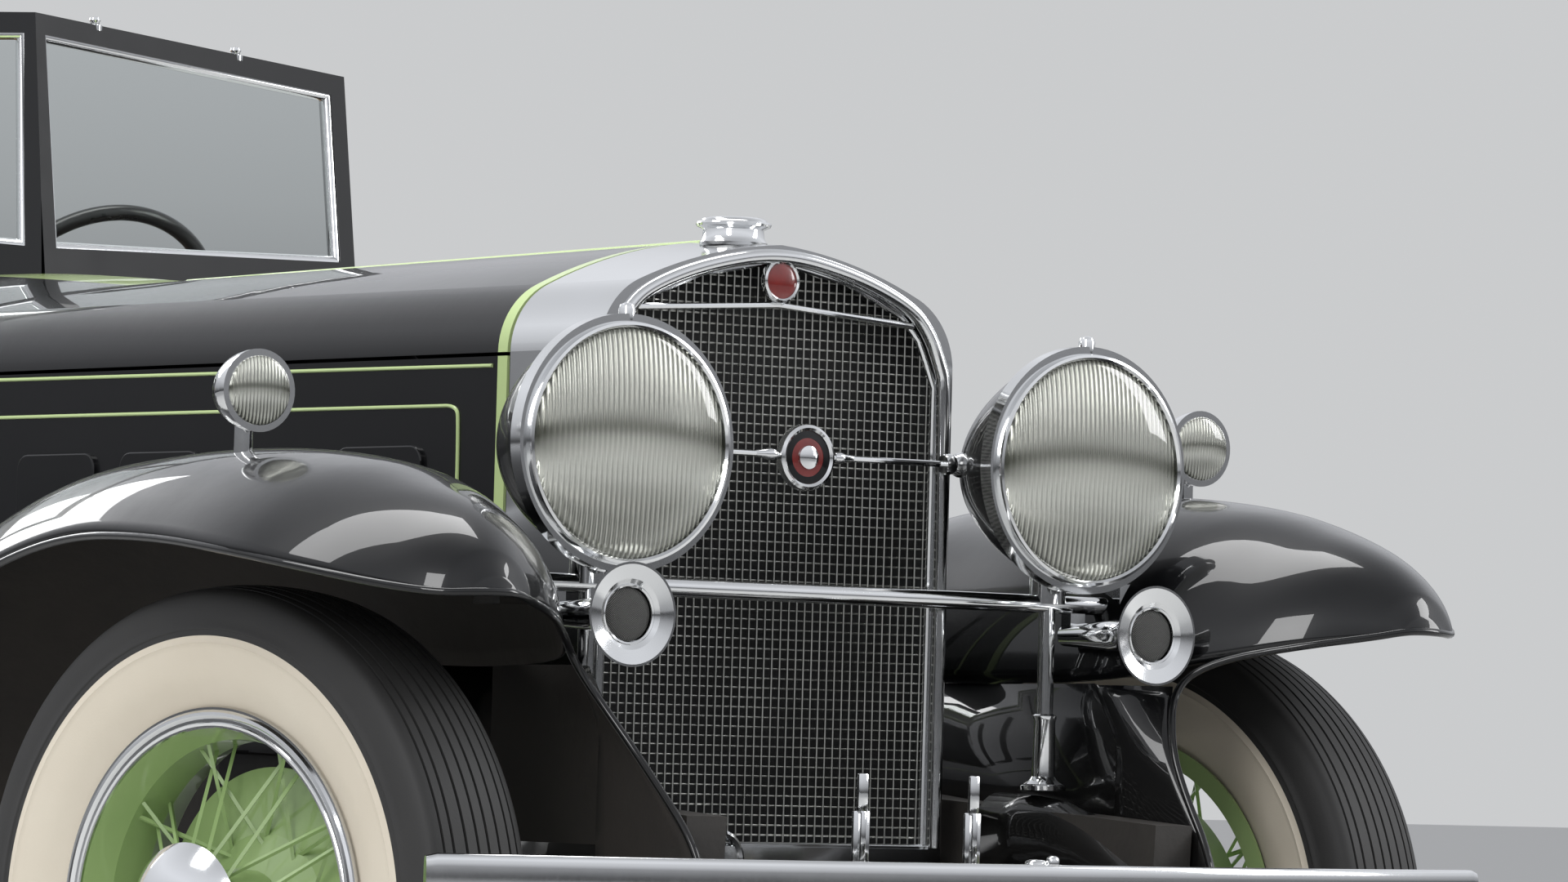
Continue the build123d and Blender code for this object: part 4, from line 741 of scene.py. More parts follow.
slant = math.atan2(hood_flare, hood_length)
bead = 0.0026
field = [(0.60, 1.083), (0.24, 1.082), (0.196, 1.082), (0.190, 1.060), (0.190, 0.76), (0.190, 0.716),
         (0.24, 0.712), (0.8, 0.712), (1.30, 0.712), (1.34, 0.716), (1.34, 0.76), (1.34, 1.05), (1.34, 1.084),
         (1.30, 1.085), (0.60, 1.083)]
for side, word in sides:
    line = [hood_side(side, y, 1.132 + 0.005 * y) for y in (0.125, 0.7, 1.388)]
    rod("hood_bead_" + word, line, bead, sunlit_green_enamel)
    rod("hood_field_" + word, [hood_side(side, y, z) for y, z in field], bead, sunlit_green_enamel, True)
    bm = bmesh.new()
    for index in range(4):
        place = shift(hood_side(side, 0.350 + index * 0.238, 0.895, 0.0015))
        place = place @ Matrix.Rotation(-side * slant, 4, "Z")
        join(bm, rounded_plate(0.010, 0.180, 0.272, 0.022, 0.002), place)
    keep("ventilator_doors_" + word, bm, black_enamel, auto=20.0)
print("hood trim done")

# %% [markdown]
# The radiator's screen is woven from bright wire at about half an inch. Two layers of fine bars, one
# behind the other, stand for the weave: under a thousand faces, while a crimped weave would need many
# times that. Each wire is cut to the screen's outline, which slopes up to a low gable.

# %% Radiator screen
gable = [(0.0, 1.2795), (0.119, 1.2575), (0.206, 1.221), (0.236, 1.190), (0.254, 1.150), (0.263, 1.128)]
screen_low = 0.520
screen_half = 0.2630


def gable_height(x):
    for (x0, z0), (x1, z1) in zip(gable, gable[1:]):
        if abs(x) <= x1:
            return z0 + (z1 - z0) * (abs(x) - x0) / (x1 - x0)
    return gable[-1][1]


def gable_half(z):
    if z <= gable[-1][1]:
        return screen_half
    for (x0, z0), (x1, z1) in zip(gable, gable[1:]):
        if z >= z1:
            return x0 + (x1 - x0) * (z0 - z) / (z0 - z1)
    return screen_half


screen_finish = Finish("screen_wire", (0.42, 0.42, 0.40), 0.28, 1.0)
screen_cloud = screen_finish.noise(screen_finish.place(), 9.0, 4.0)
screen_finish.set("Base Color", screen_finish.paint(screen_cloud, (0.30, 0.30, 0.28), (0.55, 0.55, 0.52)))
screen_finish.set("Roughness", screen_finish.spread(screen_cloud, 0.2, 0.42))
pitch = 0.0127
screen_y = -0.074
wires = bmesh.new()


def wire(length, place):
    step = bmesh.new()
    bmesh.ops.create_cone(step, cap_ends=True, segments=6, radius1=0.00135, radius2=0.00135, depth=length)
    join(wires, step, place)


columns = int(screen_half / pitch)
for column in range(-columns, columns + 1):
    top = gable_height(column * pitch)
    wire(top - screen_low, shift(at(column * pitch, screen_y, (top + screen_low) / 2)))
rows = int((gable[0][1] - screen_low) / pitch)
for row in range(1, rows):
    z = screen_low + row * pitch
    level = shift(at(0, screen_y + 0.0022, z)) @ Matrix.Rotation(math.radians(90), 4, "Y")
    wire(2 * gable_half(z), level)
stand_in(keep("radiator_wires", wires, screen_finish.material), "radiator_screen")
border = [(screen_half, screen_low)] + gable[::-1]
border += [(-x, z) for x, z in gable[1:]] + [(-screen_half, screen_low)]
rod("screen_border", [at(x, screen_y - 0.002, z) for x, z in border + border[:1]], 0.005)
rod("screen_bar", [at(-0.222, screen_y - 0.008, 1.207), at(0, screen_y - 0.010, 1.222),
                   at(0.222, screen_y - 0.008, 1.207)], 0.0045)
core_black = plain_coat("core_black", (0.004, 0.004, 0.004), 0.7, 200.0, 0.001, (0.02, 0.02, 0.018), 0.3)
dress("radiator_core", core_black)
print("screen wires", 2 * columns + 1 + rows - 1)

# %% [markdown]
# Bright work on the nose: a round enamel badge in the gable, and a thin rod between the headlamps with a
# round plate in its middle. Both are plain enamel in bright rings. Every round part is turned from its
# profile, as the real ones were, and the horns get a fine gauze over their mouths.

# %% Badge and tie rod
red_finish = Finish("red_enamel", (0.16, 0.012, 0.010), 0.2, coat=1.0, Coat_Roughness=0.03)
red_cloud = red_finish.noise(red_finish.place(), 60.0, 3.0)
red_finish.set("Base Color", red_finish.paint(red_cloud, (0.10, 0.008, 0.008), (0.24, 0.02, 0.015)))
red_enamel = red_finish.material


def ring_profile(radius, thick):
    return [(-thick, radius * 0.78), (thick * 0.6, radius * 0.80), (thick, radius * 0.88),
            (thick * 0.6, radius * 0.97), (0, radius), (-thick, radius)]


badge_y, badge_z = -0.090, 1.253
badge = facing(at(0, badge_y, badge_z), forward)
lathe("badge_ring", ring_profile(0.029, 0.005), badge)
lathe("badge_enamel", [(-0.004, 0.0232), (0.001, 0.0232), (0.003, 0.014), (0.0034, 0.0)], badge, red_enamel)
rod("badge_stem", [at(0, badge_y + 0.002, badge_z), at(0, screen_y, badge_z)], 0.008)
tie_y, tie_z = -0.150, 1.024
rod("lamp_tie", [at(-0.275, tie_y, tie_z), at(0.275, tie_y, tie_z)], 0.0042)
plate = facing(at(0, tie_y - 0.006, 1.022), forward)
lathe("tie_plate_ring", ring_profile(0.0435, 0.006), plate, steps=64)
plate_dish = [(-0.005, 0.0345), (0.001, 0.0345), (0.003, 0.022), (0.0036, 0.0)]
lathe("tie_plate_enamel", plate_dish, plate, red_enamel, 64)
plate_band = [(-0.002, 0.0250), (0.0030, 0.0252), (0.0022, 0.0342), (-0.002, 0.0344)]
lathe("tie_plate_band", plate_band, plate, black_enamel, 64)
lathe("tie_plate_boss", [(0.002, 0.0160), (0.006, 0.0150), (0.008, 0.009), (0.0085, 0.0)], plate)
collar_profile = [(-0.012, 0.0), (-0.012, 0.007), (-0.004, 0.0085), (0.004, 0.006), (0.018, 0.0045),
                  (0.018, 0.0)]
seat_profile = [(-0.006, 0.0), (-0.006, 0.012), (0.002, 0.0145), (0.010, 0.012), (0.020, 0.0165),
                (0.030, 0.0165), (0.030, 0.0)]
screw_profile = [(-0.006, 0.0), (-0.006, 0.010), (0.010, 0.011), (0.0155, 0.009), (0.018, 0.004),
                 (0.0185, 0.0)]
bead_profile = [(-0.004, 0.1440), (0.004, 0.1445), (0.007, 0.1475), (0.006, 0.1510), (-0.002, 0.1530),
                (-0.004, 0.1530)]
gauze_profile = [(0.0, 0.0335), (0.004, 0.028), (0.006, 0.015), (0.0065, 0.0)]
horn_profile = [(-0.004, 0.0345), (0.004, 0.0345), (0.0055, 0.0370), (0.0035, 0.0395), (-0.004, 0.0395)]
gauze_finish = Finish("horn_gauze", (0.05, 0.05, 0.05), 0.45, 0.8)
gauze_x, _, gauze_z = gauze_finish.parts(gauze_finish.place())
gauze = (gauze_x * 2500.0).wave() * (gauze_z * 2500.0).wave()
gauze_finish.set("Base Color", gauze_finish.paint(gauze * 0.5 + 0.5, (0.01, 0.01, 0.01), (0.22, 0.22, 0.21)))
gauze_finish.bump(gauze, 0.0008)
for side, word in sides:
    outward = (side, 0, 0)
    lathe("tie_collar_" + word, collar_profile, facing(at(side * 0.060, tie_y, tie_z), outward), steps=24)
    lathe("tie_seat_" + word, seat_profile, facing(at(side * 0.232, tie_y, tie_z), outward), steps=32)
    screw = facing(at(side * headlamp_x, headlamp_y + 0.010, headlamp_z + 0.158), (0, 0, 1))
    lathe("rim_screw_" + word, screw_profile, screw, steps=32)
    rim = facing(at(side * headlamp_x, headlamp_y - 0.003, headlamp_z), forward)
    lathe("rim_bead_" + word, bead_profile, rim, steps=96)
    cup = facing(at(side * 0.415, -0.358, 0.805), forward)
    lathe("horn_gauze_" + word, gauze_profile, cup, gauze_finish.material)
    lathe("horn_collar_" + word, horn_profile, cup, steps=64)
print("nose trim done")

# %% [markdown]
# Every fender ends in a rolled edge, a wire wrapped in the sheet. It is what draws the bright line along
# the fender in the picture. On the rear fenders one tube follows the stations of the solid's lip.

# %% Rolled rear edges
rolled_edge = 0.0052
rear_lip = [(-0.760, 0.900, 0.405), (-0.640, 0.905, 0.425), (-0.540, 0.915, 0.500), (-0.420, 0.925, 0.615),
            (-0.220, 0.9275, 0.745), (0.0, 0.9275, 0.790), (0.220, 0.9275, 0.765), (0.420, 0.926, 0.665),
            (0.580, 0.905, 0.520), (0.660, 0.880, 0.440)]
for side, word in sides:
    line = [(side * (x - 0.004), rear_axle_y + y, z - 0.002) for y, x, z in rear_lip]
    rod("rear_fender_edge_" + word, line, rolled_edge, black_enamel, True, 4)
print("edges rolled")

# %% [markdown]
# The windscreen stands on the cowl in a shallow V. Its outer frame is black, and each pane sits in a
# bright half-round frame. The frames are tubes along the opening, laid in the pane's own plane, and two
# studs on each header take the front of the folding top.

# %% Windscreen frames
pane_span = 0.655
pane_front = 1.842
pane_turn = math.atan2(1.985 - pane_front, pane_span)
pane_lean = math.radians(7.0)
pane_across = Vector((math.cos(pane_turn), math.sin(pane_turn), 0))
pane_normal = Vector((math.sin(pane_turn), -math.cos(pane_turn), 0)) * math.cos(pane_lean)
pane_normal += Vector((0, 0, math.sin(pane_lean)))
pane_up = pane_normal.cross(pane_across)
pane_width = pane_span / math.cos(pane_turn)
pane_corners = [(0.026, 0.036), (pane_width - 0.032, 0.058), (pane_width - 0.032, 0.330), (0.026, 0.368)]
stud_profile = [(-0.004, 0.0), (-0.004, 0.012), (0.004, 0.012), (0.006, 0.007), (0.009, 0.007),
                (0.012, 0.009), (0.016, 0.008), (0.0185, 0.0)]


def on_pane(side, u, v, proud=0.0):
    """A point of a pane, measured across and up from its lower inner corner."""
    spot = at(0, pane_front, 1.345) + pane_across * u + pane_up * v + pane_normal * proud
    return Vector((side * spot.x, spot.y, spot.z))


for side, word in sides:
    line = [on_pane(side, u, v) for u, v in pane_corners + pane_corners[:2]]
    rod("pane_frame_" + word, line, 0.0125, sides_to_bend=5)
    for u in (0.14, 0.44):
        stud = on_pane(side, u, 0.402 - 0.0632 * u, 0.004) - Vector((0, 0, 0.002))
        lathe("header_stud_%s_%d" % (word, int(u * 100)), stud_profile, facing(stud, (0, 0, 1)), steps=24)
print("windscreen done")

# %% [markdown]
# The seats are tan hide over springs, sewn in upright pleats. Each pad is a loft along X: a rounded section
# is repeated every few millimetres, pushed in at the seams and drawn in at both ends. The points are moved
# by these formulas, not by a simulation, so the seams stay even.


# %% Seats
def sewn_pad(name, half, middle, reach, seams, face):
    """A pleated pad. The face is the angle, round the section, of the side that people lean or sit on."""
    around = 48
    stations = int(half * 2 / 0.006)
    end = 0.045
    bm = bmesh.new()
    rings = []
    for index in range(stations + 1):
        x = -half + 2 * half * index / stations
        rounding = max(0.0, (abs(x) - (half - end)) / end)
        inset = end * 0.9 * (1 - math.sqrt(max(0.0, 1 - rounding ** 2)))
        sewn = 1 - abs(math.sin(math.pi * x * seams / (2 * half))) ** 0.45
        crown = 0.010 * (1 - (x / half) ** 4)
        ring = []
        for step in range(around):
            angle = math.tau * step / around
            wide, tall = [math.copysign(abs(v) ** 0.42, v) for v in (math.cos(angle), math.sin(angle))]
            facing_share = max(0.0, math.cos(angle - face)) ** 0.5
            depth = inset + facing_share * (sewn * 0.013 - crown * 0.5 + 0.008)
            ring.append(bm.verts.new((x, middle[0] + wide * (reach[0] - depth),
                                      middle[1] + tall * (reach[1] - depth))))
        rings.append(ring)
    capped_tube(bm, rings)
    bmesh.ops.recalc_face_normals(bm, faces=bm.faces)
    return keep(name, bm, tan_hide, auto=50.0)


for word, first_y, last_y, half in (("front", 2.350, 2.860, 0.560), ("rear", 3.330, 3.860, 0.572)):
    cushion_middle = (front_axle_y + (first_y + last_y) / 2, 0.8325)
    cushion_reach = ((last_y - first_y) / 2, 0.0925)
    cushion = sewn_pad(word + "_cushion", half, cushion_middle, cushion_reach, 16, math.radians(110))
    back_middle = (front_axle_y + last_y + 0.070, 0.9825)
    back = sewn_pad(word + "_backrest", half, back_middle, (0.065, 0.2425), 16, math.radians(180))
    for pad in (cushion, back):
        stand_in(pad, word + "_seat")
print("seats", len(cushion.data.polygons), len(back.data.polygons))

# %% [markdown]
# The folded top is a thick roll round the back of the body, under one canvas cover. The cover is a single
# sheet over the roll: an arch from the inner edge to the outer one, carried round the corners, with soft
# rolls where the bows lie and small cross wrinkles. Its two ends are drawn together over the bows.

# %% Folded top
top_low = 1.1740
top_high = 0.160
top_rows = 30
side_part, corner_part, back_part = 44, 26, 34


def round_path(share, half, front, back, corner):
    """A point on a U in plan. The share runs 0 to 3: along the side, round the corner, along the back."""
    if share <= 1:
        return half, front + share * (back - corner - front)
    if share <= 2:
        angle = (share - 1) * math.pi / 2
        return half - corner + corner * math.cos(angle), back - corner + corner * math.sin(angle)
    return (half - corner) * (3 - share), back


def top_point(share, turn, side, lift=0.0):
    """A point of the cover. The turn runs 0 at the outer edge to 1 at the inner edge."""
    outer = round_path(share, 0.712, front_axle_y + 3.568, front_axle_y + 4.397, 0.255)
    inner = round_path(share, 0.604, front_axle_y + 3.568, front_axle_y + 4.053, 0.060)
    drawn = 1 - 0.75 * max(0.0, 1 - share / 0.05) ** 2
    angle = math.pi * turn
    wide = math.copysign(abs(math.cos(angle)) ** 0.62, math.cos(angle))
    tall = math.sin(angle) ** 0.55
    rolls = 0.004 * math.cos(math.tau * 3.2 * tall) * math.sin(angle)
    creases = 0.0028 * math.sin(share * 41 + 2.5 * math.sin(share * 7 + side)) * math.sin(angle) ** 2
    reach = (0.965 + (rolls + creases + lift) / 0.06) * drawn
    x, y = [(out + within) / 2 + (out - within) / 2 * wide * reach for out, within in zip(outer, inner)]
    sag = 0.010 * math.sin(share * math.pi * 2.2) ** 2
    height = (top_high - sag + creases + lift) * tall * (0.35 + 0.65 * drawn)
    return Vector((side * x, y, top_low + height))


def draped(name, path, lift, thick, material):
    """A sheet through the cover's points, with a thin wall. The path is a list of shares and sides."""
    bm = bmesh.new()
    turns = [index / top_rows for index in range(top_rows + 1)]
    grid = [[bm.verts.new(top_point(share, turn, side, lift)) for turn in turns] for share, side in path]
    grid_faces(bm, grid)
    return pressed(name, bm, material, thick)


one_side = [index / side_part for index in range(side_part)]
one_side += [1 + index / corner_part for index in range(corner_part)]
one_side += [2 + index / back_part for index in range(back_part)]
cover_path = [(share, 1) for share in one_side + [3.0]] + [(share, -1) for share in one_side[::-1]]
cover = draped("top_cover", cover_path, 0.0, 0.002, tan_canvas)
middle_line = [top_point(share, 0.5, side) for share, side in cover_path]
stand_in(cover, "folded_top")
for index, (share, side) in enumerate(((0.45, 1), (0.45, -1), (2.35, 1), (2.35, -1))):
    spread = 0.014 / (0.57 if share < 1 else 0.457)
    path = [(share + spread * part, side) for part in (-1, -0.9, 0, 0.9, 1)]
    draped("top_strap_%d" % index, path, 0.0035, 0.003, tan_hide)

# %% [markdown]
# The bumper bars are sprung steel with a crowned face and soft edges, so each is a short rounded section
# carried along a wide arc. The plate brackets stand further back, on a bar between the frame horns.


# %% Front bumper
def section_bar(bm, half, face_y, bow, middle_z, height, thick):
    """One bowed bar: a rounded section repeated along an arc through the face's three points."""
    arc = (half ** 2 + bow ** 2) / (2 * bow)
    section = []
    for step in range(24):
        angle = math.tau * step / 24
        wide = math.copysign(abs(math.cos(angle)) ** 0.75, math.cos(angle))
        tall = math.copysign(abs(math.sin(angle)) ** 0.45, math.sin(angle))
        section.append((wide * thick / 2, tall * height / 2))
    rings = []
    count = 64
    for index in range(-count, count + 1):
        swing = math.asin(half * index / count / arc)
        shrink = 0.90 if abs(index) == count else 1.0
        middle = Vector((arc * math.sin(swing), face_y + arc - arc * math.cos(swing) + thick / 2, middle_z))
        out = Vector((-math.sin(swing), math.cos(swing), 0))
        ring = [middle + out * a * shrink + Vector((0, 0, b * shrink)) for a, b in section]
        rings.append([bm.verts.new(point) for point in ring])
    capped_tube(bm, rings)


bumper_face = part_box("front_bumper")[0][1]
rail_x = 0.368
bracket_y = front_axle_y - 0.412
bumper_slabs = (
    (rail_x, bumper_face + 0.110, 0.440, (0.050, 0.180, 0.070), 0.010),
    (rail_x, bumper_face + 0.036, 0.431, (0.058, 0.012, 0.150), 0.005),
    (0.088, bracket_y, 0.520, (0.026, 0.005, 0.100), 0.002),
    (0.088, bracket_y - 0.002, 0.592, (0.016, 0.006, 0.050), 0.0025),
    (0.088, bracket_y - 0.004, 0.535, (0.009, 0.006, 0.070), 0.0025))
bm = bmesh.new()
for bar_z, bar_height in ((0.478, 0.066), (0.385, 0.062)):
    section_bar(bm, 0.822, bumper_face, 0.130, bar_z, bar_height, 0.014)
for side, word in sides:
    for x, y, z, size, rounding in bumper_slabs:
        join(bm, slab(size, rounding), shift((side * x, y, z)))
join(bm, slab((0.030, 0.022, 0.172), 0.008, 3), shift((0, bumper_face + 0.022, 0.431)))
join(bm, slab((0.016, 0.014, 0.020), 0.006, 3), shift((0.016, bumper_face + 0.010, 0.512)))
bmesh.ops.recalc_face_normals(bm, faces=bm.faces)
bumper = keep("bumper_bars", bm, chrome)
stand_in(bumper, "front_bumper")
rod("bracket_bar", [(x, bracket_y + 0.010, 0.478) for x in (-0.340, 0.340)], 0.009, satin_black)
print("bumper", len(bumper.data.polygons))

# %% [markdown]
# Below the radiator a pressed cover drops over each frame horn, like a small fender, with a flat panel
# between the two. Their tops fall away in a curve towards the bumper. The sleeves of the lamp posts and
# the ring of the starting handle sit just behind.

# %% Frame horn covers
horn_line = [(-0.110, 0.596), (-0.190, 0.594), (-0.250, 0.586), (-0.310, 0.568), (-0.360, 0.548),
             (-0.410, 0.524), (-0.460, 0.500), (-0.500, 0.482), (-0.518, 0.476)]
horn_low = 0.474
horn_half = 0.041
bm = bmesh.new()
for side, word in sides:
    rings = []
    for y, top in horn_line:
        rise = min(0.040, top - horn_low)
        ring = [(-horn_half, horn_low)]
        for step in range(13):
            angle = math.pi * (1 - step / 12)
            ring.append((horn_half * math.cos(angle), top - rise + rise * math.sin(angle)))
        ring.append((horn_half, horn_low))
        rings.append([bm.verts.new(at(side * rail_x + x, y, z)) for x, z in ring])
    grid_faces(bm, rings)
join(bm, slab((2 * rail_x - 0.080, 0.396, 0.005), 0.002), shift(at(0, -0.312, 0.482)))
bmesh.ops.recalc_face_normals(bm, faces=bm.faces)
covers = keep("horn_covers", bm, black_enamel)
thicken(covers, 0.0015, -1.0)
stand_in(covers, "front_apron")
crank_profile = [(-0.006, 0.030), (0.002, 0.031), (0.005, 0.035), (0.002, 0.039), (-0.006, 0.040)]
lathe("crank_ring", crank_profile, facing(at(-0.075, -0.090, 0.500), forward))
sleeve_profile = [(0.0, 0.0115), (0.0, 0.030), (0.006, 0.031), (0.012, 0.020), (0.018, 0.0155),
                  (0.090, 0.0145), (0.093, 0.0160), (0.098, 0.0160), (0.100, 0.0135), (0.100, 0.0115)]
for side, word in sides:
    sleeve = facing(at(side * headlamp_x, -0.200, 0.600), (0, 0, 1))
    lathe("post_sleeve_" + word, sleeve_profile, sleeve, steps=40)
print("covers", len(covers.data.polygons))

# %% [markdown]
# Small fittings finish the body: a lever handle on each door, riding with its door, red glasses on the tail
# lamps, ribbed mats with a bright edge on the running boards, and five plain dials on the walnut. A ray
# finds the door's and the dashboard's surface, so that each fitting sits on what carries it.


# %% Body fittings
def skin_point(node_name, start, direction):
    """Where a ray from a point first meets a solid of the frame."""
    node = nodes[node_name]
    back = node.matrix_world.inverted()
    found, spot, _, _ = node.ray_cast(back @ Vector(start), back.to_3x3() @ Vector(direction))
    return node.matrix_world @ spot if found else Vector(start)


handle_profile = [(-0.004, 0.0), (-0.004, 0.021), (0.003, 0.020), (0.006, 0.013), (0.030, 0.0085),
                  (0.034, 0.0)]
for door, y, toward in (("front", 2.125, 1), ("rear", 3.385, -1)):
    for side, word in sides:
        door_name = "door_%s_%s" % (door, word)
        spot = skin_point(door_name, at(side * 1.2, y, 1.075), (-side, 0, 0))
        bm = spun(handle_profile, 32)
        bm.transform(facing(spot, (side, 0, 0)))
        lever = shift(spot + Vector((side * 0.035, toward * 0.040, 0)))
        join(bm, slab((0.012, 0.105, 0.017), 0.0055, 3), lever)
        keep("handle_%s_%s" % (door, word), bm, chrome, door_name)
tail_finish = Finish("tail_glass", (0.30, 0.010, 0.008), 0.18, coat=1.0, Coat_Roughness=0.02)
tail_x, _, tail_z = tail_finish.parts(tail_finish.place())
tail_finish.bump((tail_x * 900.0).wave() * (tail_z * 900.0).wave(), 0.0012)
tail_cloud = tail_finish.noise(tail_finish.place(), 30.0)
tail_finish.set("Base Color", tail_finish.paint(tail_cloud, (0.22, 0.006, 0.005), (0.42, 0.02, 0.015)))
bezel_profile = [(-0.004, 0.0425), (0.004, 0.0430), (0.007, 0.0460), (0.003, 0.0495), (-0.004, 0.0498)]
mat_rubber = plain_coat("mat_rubber", (0.014, 0.014, 0.014), 0.6, 400.0, 0.0004, (0.10, 0.095, 0.085), 0.4)
mat_front = front_axle_y + 1.236
mat_back = rear_axle_y - 0.764
mat_length = mat_back - mat_front
mat_middle = (mat_back + mat_front) / 2
for side, word in sides:
    tail = facing((side * 0.770, rear_axle_y + 0.559, 0.850), (0, 1, 0))
    lathe("tail_glass_" + word, dome(0.043, 0.009, 0.003), tail, tail_finish.material)
    lathe("tail_bezel_" + word, bezel_profile, tail)
    bm = bmesh.new()
    join(bm, slab((0.262, mat_length, 0.0016), 0.0005, 1), shift((side * 0.758, mat_middle, 0.4056)))
    for index in range(17):
        rib = shift((side * (0.638 + index * 0.015), mat_middle, 0.4072))
        join(bm, slab((0.0065, mat_length - 0.02, 0.0024), 0.0008, 1), rib)
    keep("board_mat_" + word, bm, mat_rubber, smooth=False)
    bm = slab((0.006, mat_length, 0.020), 0.002)
    bm.transform(shift((side * 0.8965, mat_middle, 0.400)))
    keep("board_edge_" + word, bm, chrome)
dial_finish = Finish("dial_face", (0.02, 0.02, 0.02), 0.25, coat=1.0, Coat_Roughness=0.02)
dials = [(0.0, 1.128, 0.043), (-0.105, 1.128, 0.036), (0.105, 1.128, 0.036), (-0.190, 1.124, 0.026),
         (0.190, 1.124, 0.026)]
dial_mask = 0.0
for x, z, radius in dials:
    dial_x, _, dial_z = dial_finish.parts(dial_finish.place((x, 0, z)))
    out = (dial_x * dial_x + dial_z * dial_z) ** 0.5
    angle = dial_z.calc("ARCTAN2", dial_z, dial_x)
    ticks = ((angle * 20.0).wave() > 0.75) * (out > radius * 0.70) * (out < radius * 0.86)
    dial_mask = ticks + dial_mask
dial_finish.set("Base Color", dial_finish.paint(dial_mask, (0.015, 0.015, 0.016), (0.75, 0.72, 0.62)))
for index, (x, z, radius) in enumerate(dials):
    spot = skin_point("dashboard", at(x, 2.4, z), (0, -1, 0))
    face = facing(spot, (0, 1, 0))
    disc = [(-0.003, radius * 0.93), (0.0015, radius * 0.93), (0.0018, 0.0)]
    lathe("dial_%d" % index, disc, face, dial_finish.material)
    rim = [(-0.003, radius * 0.90), (0.004, radius * 0.92), (0.0065, radius * 0.98), (0.004, radius * 1.06),
           (-0.003, radius * 1.08)]
    lathe("dial_ring_%d" % index, rim, face)
    needle = slab((radius * 0.72, 0.0012, 0.0016), 0.0004, 1)
    needle_spot = shift(spot + Vector((radius * 0.22, 0.0035, radius * 0.18)))
    needle.transform(needle_spot @ Matrix.Rotation(math.radians(-38), 4, "Y"))
    keep("dial_needle_%d" % index, needle, red_enamel, smooth=False)
print("fittings", [round(value, 3) for value in spot])

# %% [markdown]
# The front fenders carry the largest reflections in the picture, so the solid's coarse facets won't do. Each
# is rebuilt from the same stations: every station is an arc through lip, crown and inner edge, and a cubic
# runs through them from front to back. A dusty liner lies under the skin, and a rolled edge runs round it.

# %% Front fenders
front_stations = [
    (-0.536, 0.760, 0.820, 0.730, 0.836, 0.698, 0.820), (-0.516, 0.796, 0.818, 0.738, 0.872, 0.664, 0.812),
    (-0.456, 0.846, 0.827, 0.742, 0.916, 0.590, 0.798), (-0.368, 0.896, 0.845, 0.740, 0.951, 0.515, 0.776),
    (-0.250, 0.925, 0.864, 0.730, 0.982, 0.440, 0.750), (-0.060, 0.9275, 0.884, 0.722, 1.000, 0.410, 0.740),
    (0.150, 0.9275, 0.886, 0.720, 0.998, 0.410, 0.740), (0.380, 0.9275, 0.835, 0.718, 0.975, 0.410, 0.720),
    (0.600, 0.926, 0.745, 0.714, 0.893, 0.410, 0.668), (0.830, 0.918, 0.600, 0.708, 0.742, 0.450, 0.580),
    (1.040, 0.908, 0.475, 0.715, 0.570, 0.520, 0.500), (1.230, 0.900, 0.405, 0.750, 0.436, 0.600, 0.426),
]
valance_rows = [(0.476, -0.300, 0.403, -0.516), (0.520, -0.300, 0.404, -0.505),
                (0.600, -0.300, 0.418, -0.432), (0.662, -0.300, 0.436, -0.380),
                (0.740, -0.250, 0.474, -0.334)]


def smooth_rows(rows, parts):
    """More rows between the given ones, on cubics through them. The first column is the parameter."""
    slopes = []
    for index in range(len(rows)):
        before, after = rows[max(index - 1, 0)], rows[min(index + 1, len(rows) - 1)]
        slopes.append([(b - a) / (after[0] - before[0]) for a, b in zip(before, after)])
    result = []
    for index in range(len(rows) - 1):
        width = rows[index + 1][0] - rows[index][0]
        for part in range(parts):
            t = part / parts
            result.append([
                a * (2 * t ** 3 - 3 * t ** 2 + 1) + m * width * (t ** 3 - 2 * t ** 2 + t)
                + b * (3 * t ** 2 - 2 * t ** 3) + n * width * (t ** 3 - t ** 2)
                for a, b, m, n in zip(rows[index], rows[index + 1], slopes[index], slopes[index + 1])])
    result.append(list(rows[-1]))
    return result


def arc_through(first, middle, last, count, inward=0.0):
    """Points on the circle through three points, from the first to the last by way of the middle."""
    (ax, az), (bx, bz), (cx, cz) = first, middle, last
    d = 2 * (ax * (bz - cz) + bx * (cz - az) + cx * (az - bz))
    a, b, c = ax * ax + az * az, bx * bx + bz * bz, cx * cx + cz * cz
    ux = (a * (bz - cz) + b * (cz - az) + c * (az - bz)) / d
    uz = (a * (cx - bx) + b * (ax - cx) + c * (bx - ax)) / d
    radius = math.hypot(ax - ux, az - uz) - inward
    start = math.atan2(az - uz, ax - ux)
    stop = math.atan2(cz - uz, cx - ux)
    if stop < start:
        stop += math.tau
    return [(ux + radius * math.cos(start + (stop - start) * step / count),
             uz + radius * math.sin(start + (stop - start) * step / count)) for step in range(count + 1)]


def crown_grid(bm, side, stations, count, inward=0.0):
    """The fender's arch: an arc of points at every station."""
    grid = []
    for y, lip_x, lip_z, crown_x, crown_z, inner_x, inner_z in stations:
        arc = arc_through((lip_x, lip_z), (crown_x, crown_z), (inner_x, inner_z), count, inward)
        grid.append([bm.verts.new(at(side * x, y, z)) for x, z in arc])
    grid_faces(bm, grid)
    return grid


def valance_grid(bm, side, spread, proud):
    """The curved plate that runs from the inner panel out to the fender's nose."""
    grid = []
    for z, root_y, edge_x, edge_y in smooth_rows(valance_rows, 5):
        row = []
        for step in range(9):
            share = step / 8 * spread
            x = panel_x + (edge_x - panel_x) * share ** 2 + proud
            row.append(bm.verts.new(at(side * x, root_y + (edge_y - root_y) * share, z)))
        grid.append(row)
    grid_faces(bm, grid)


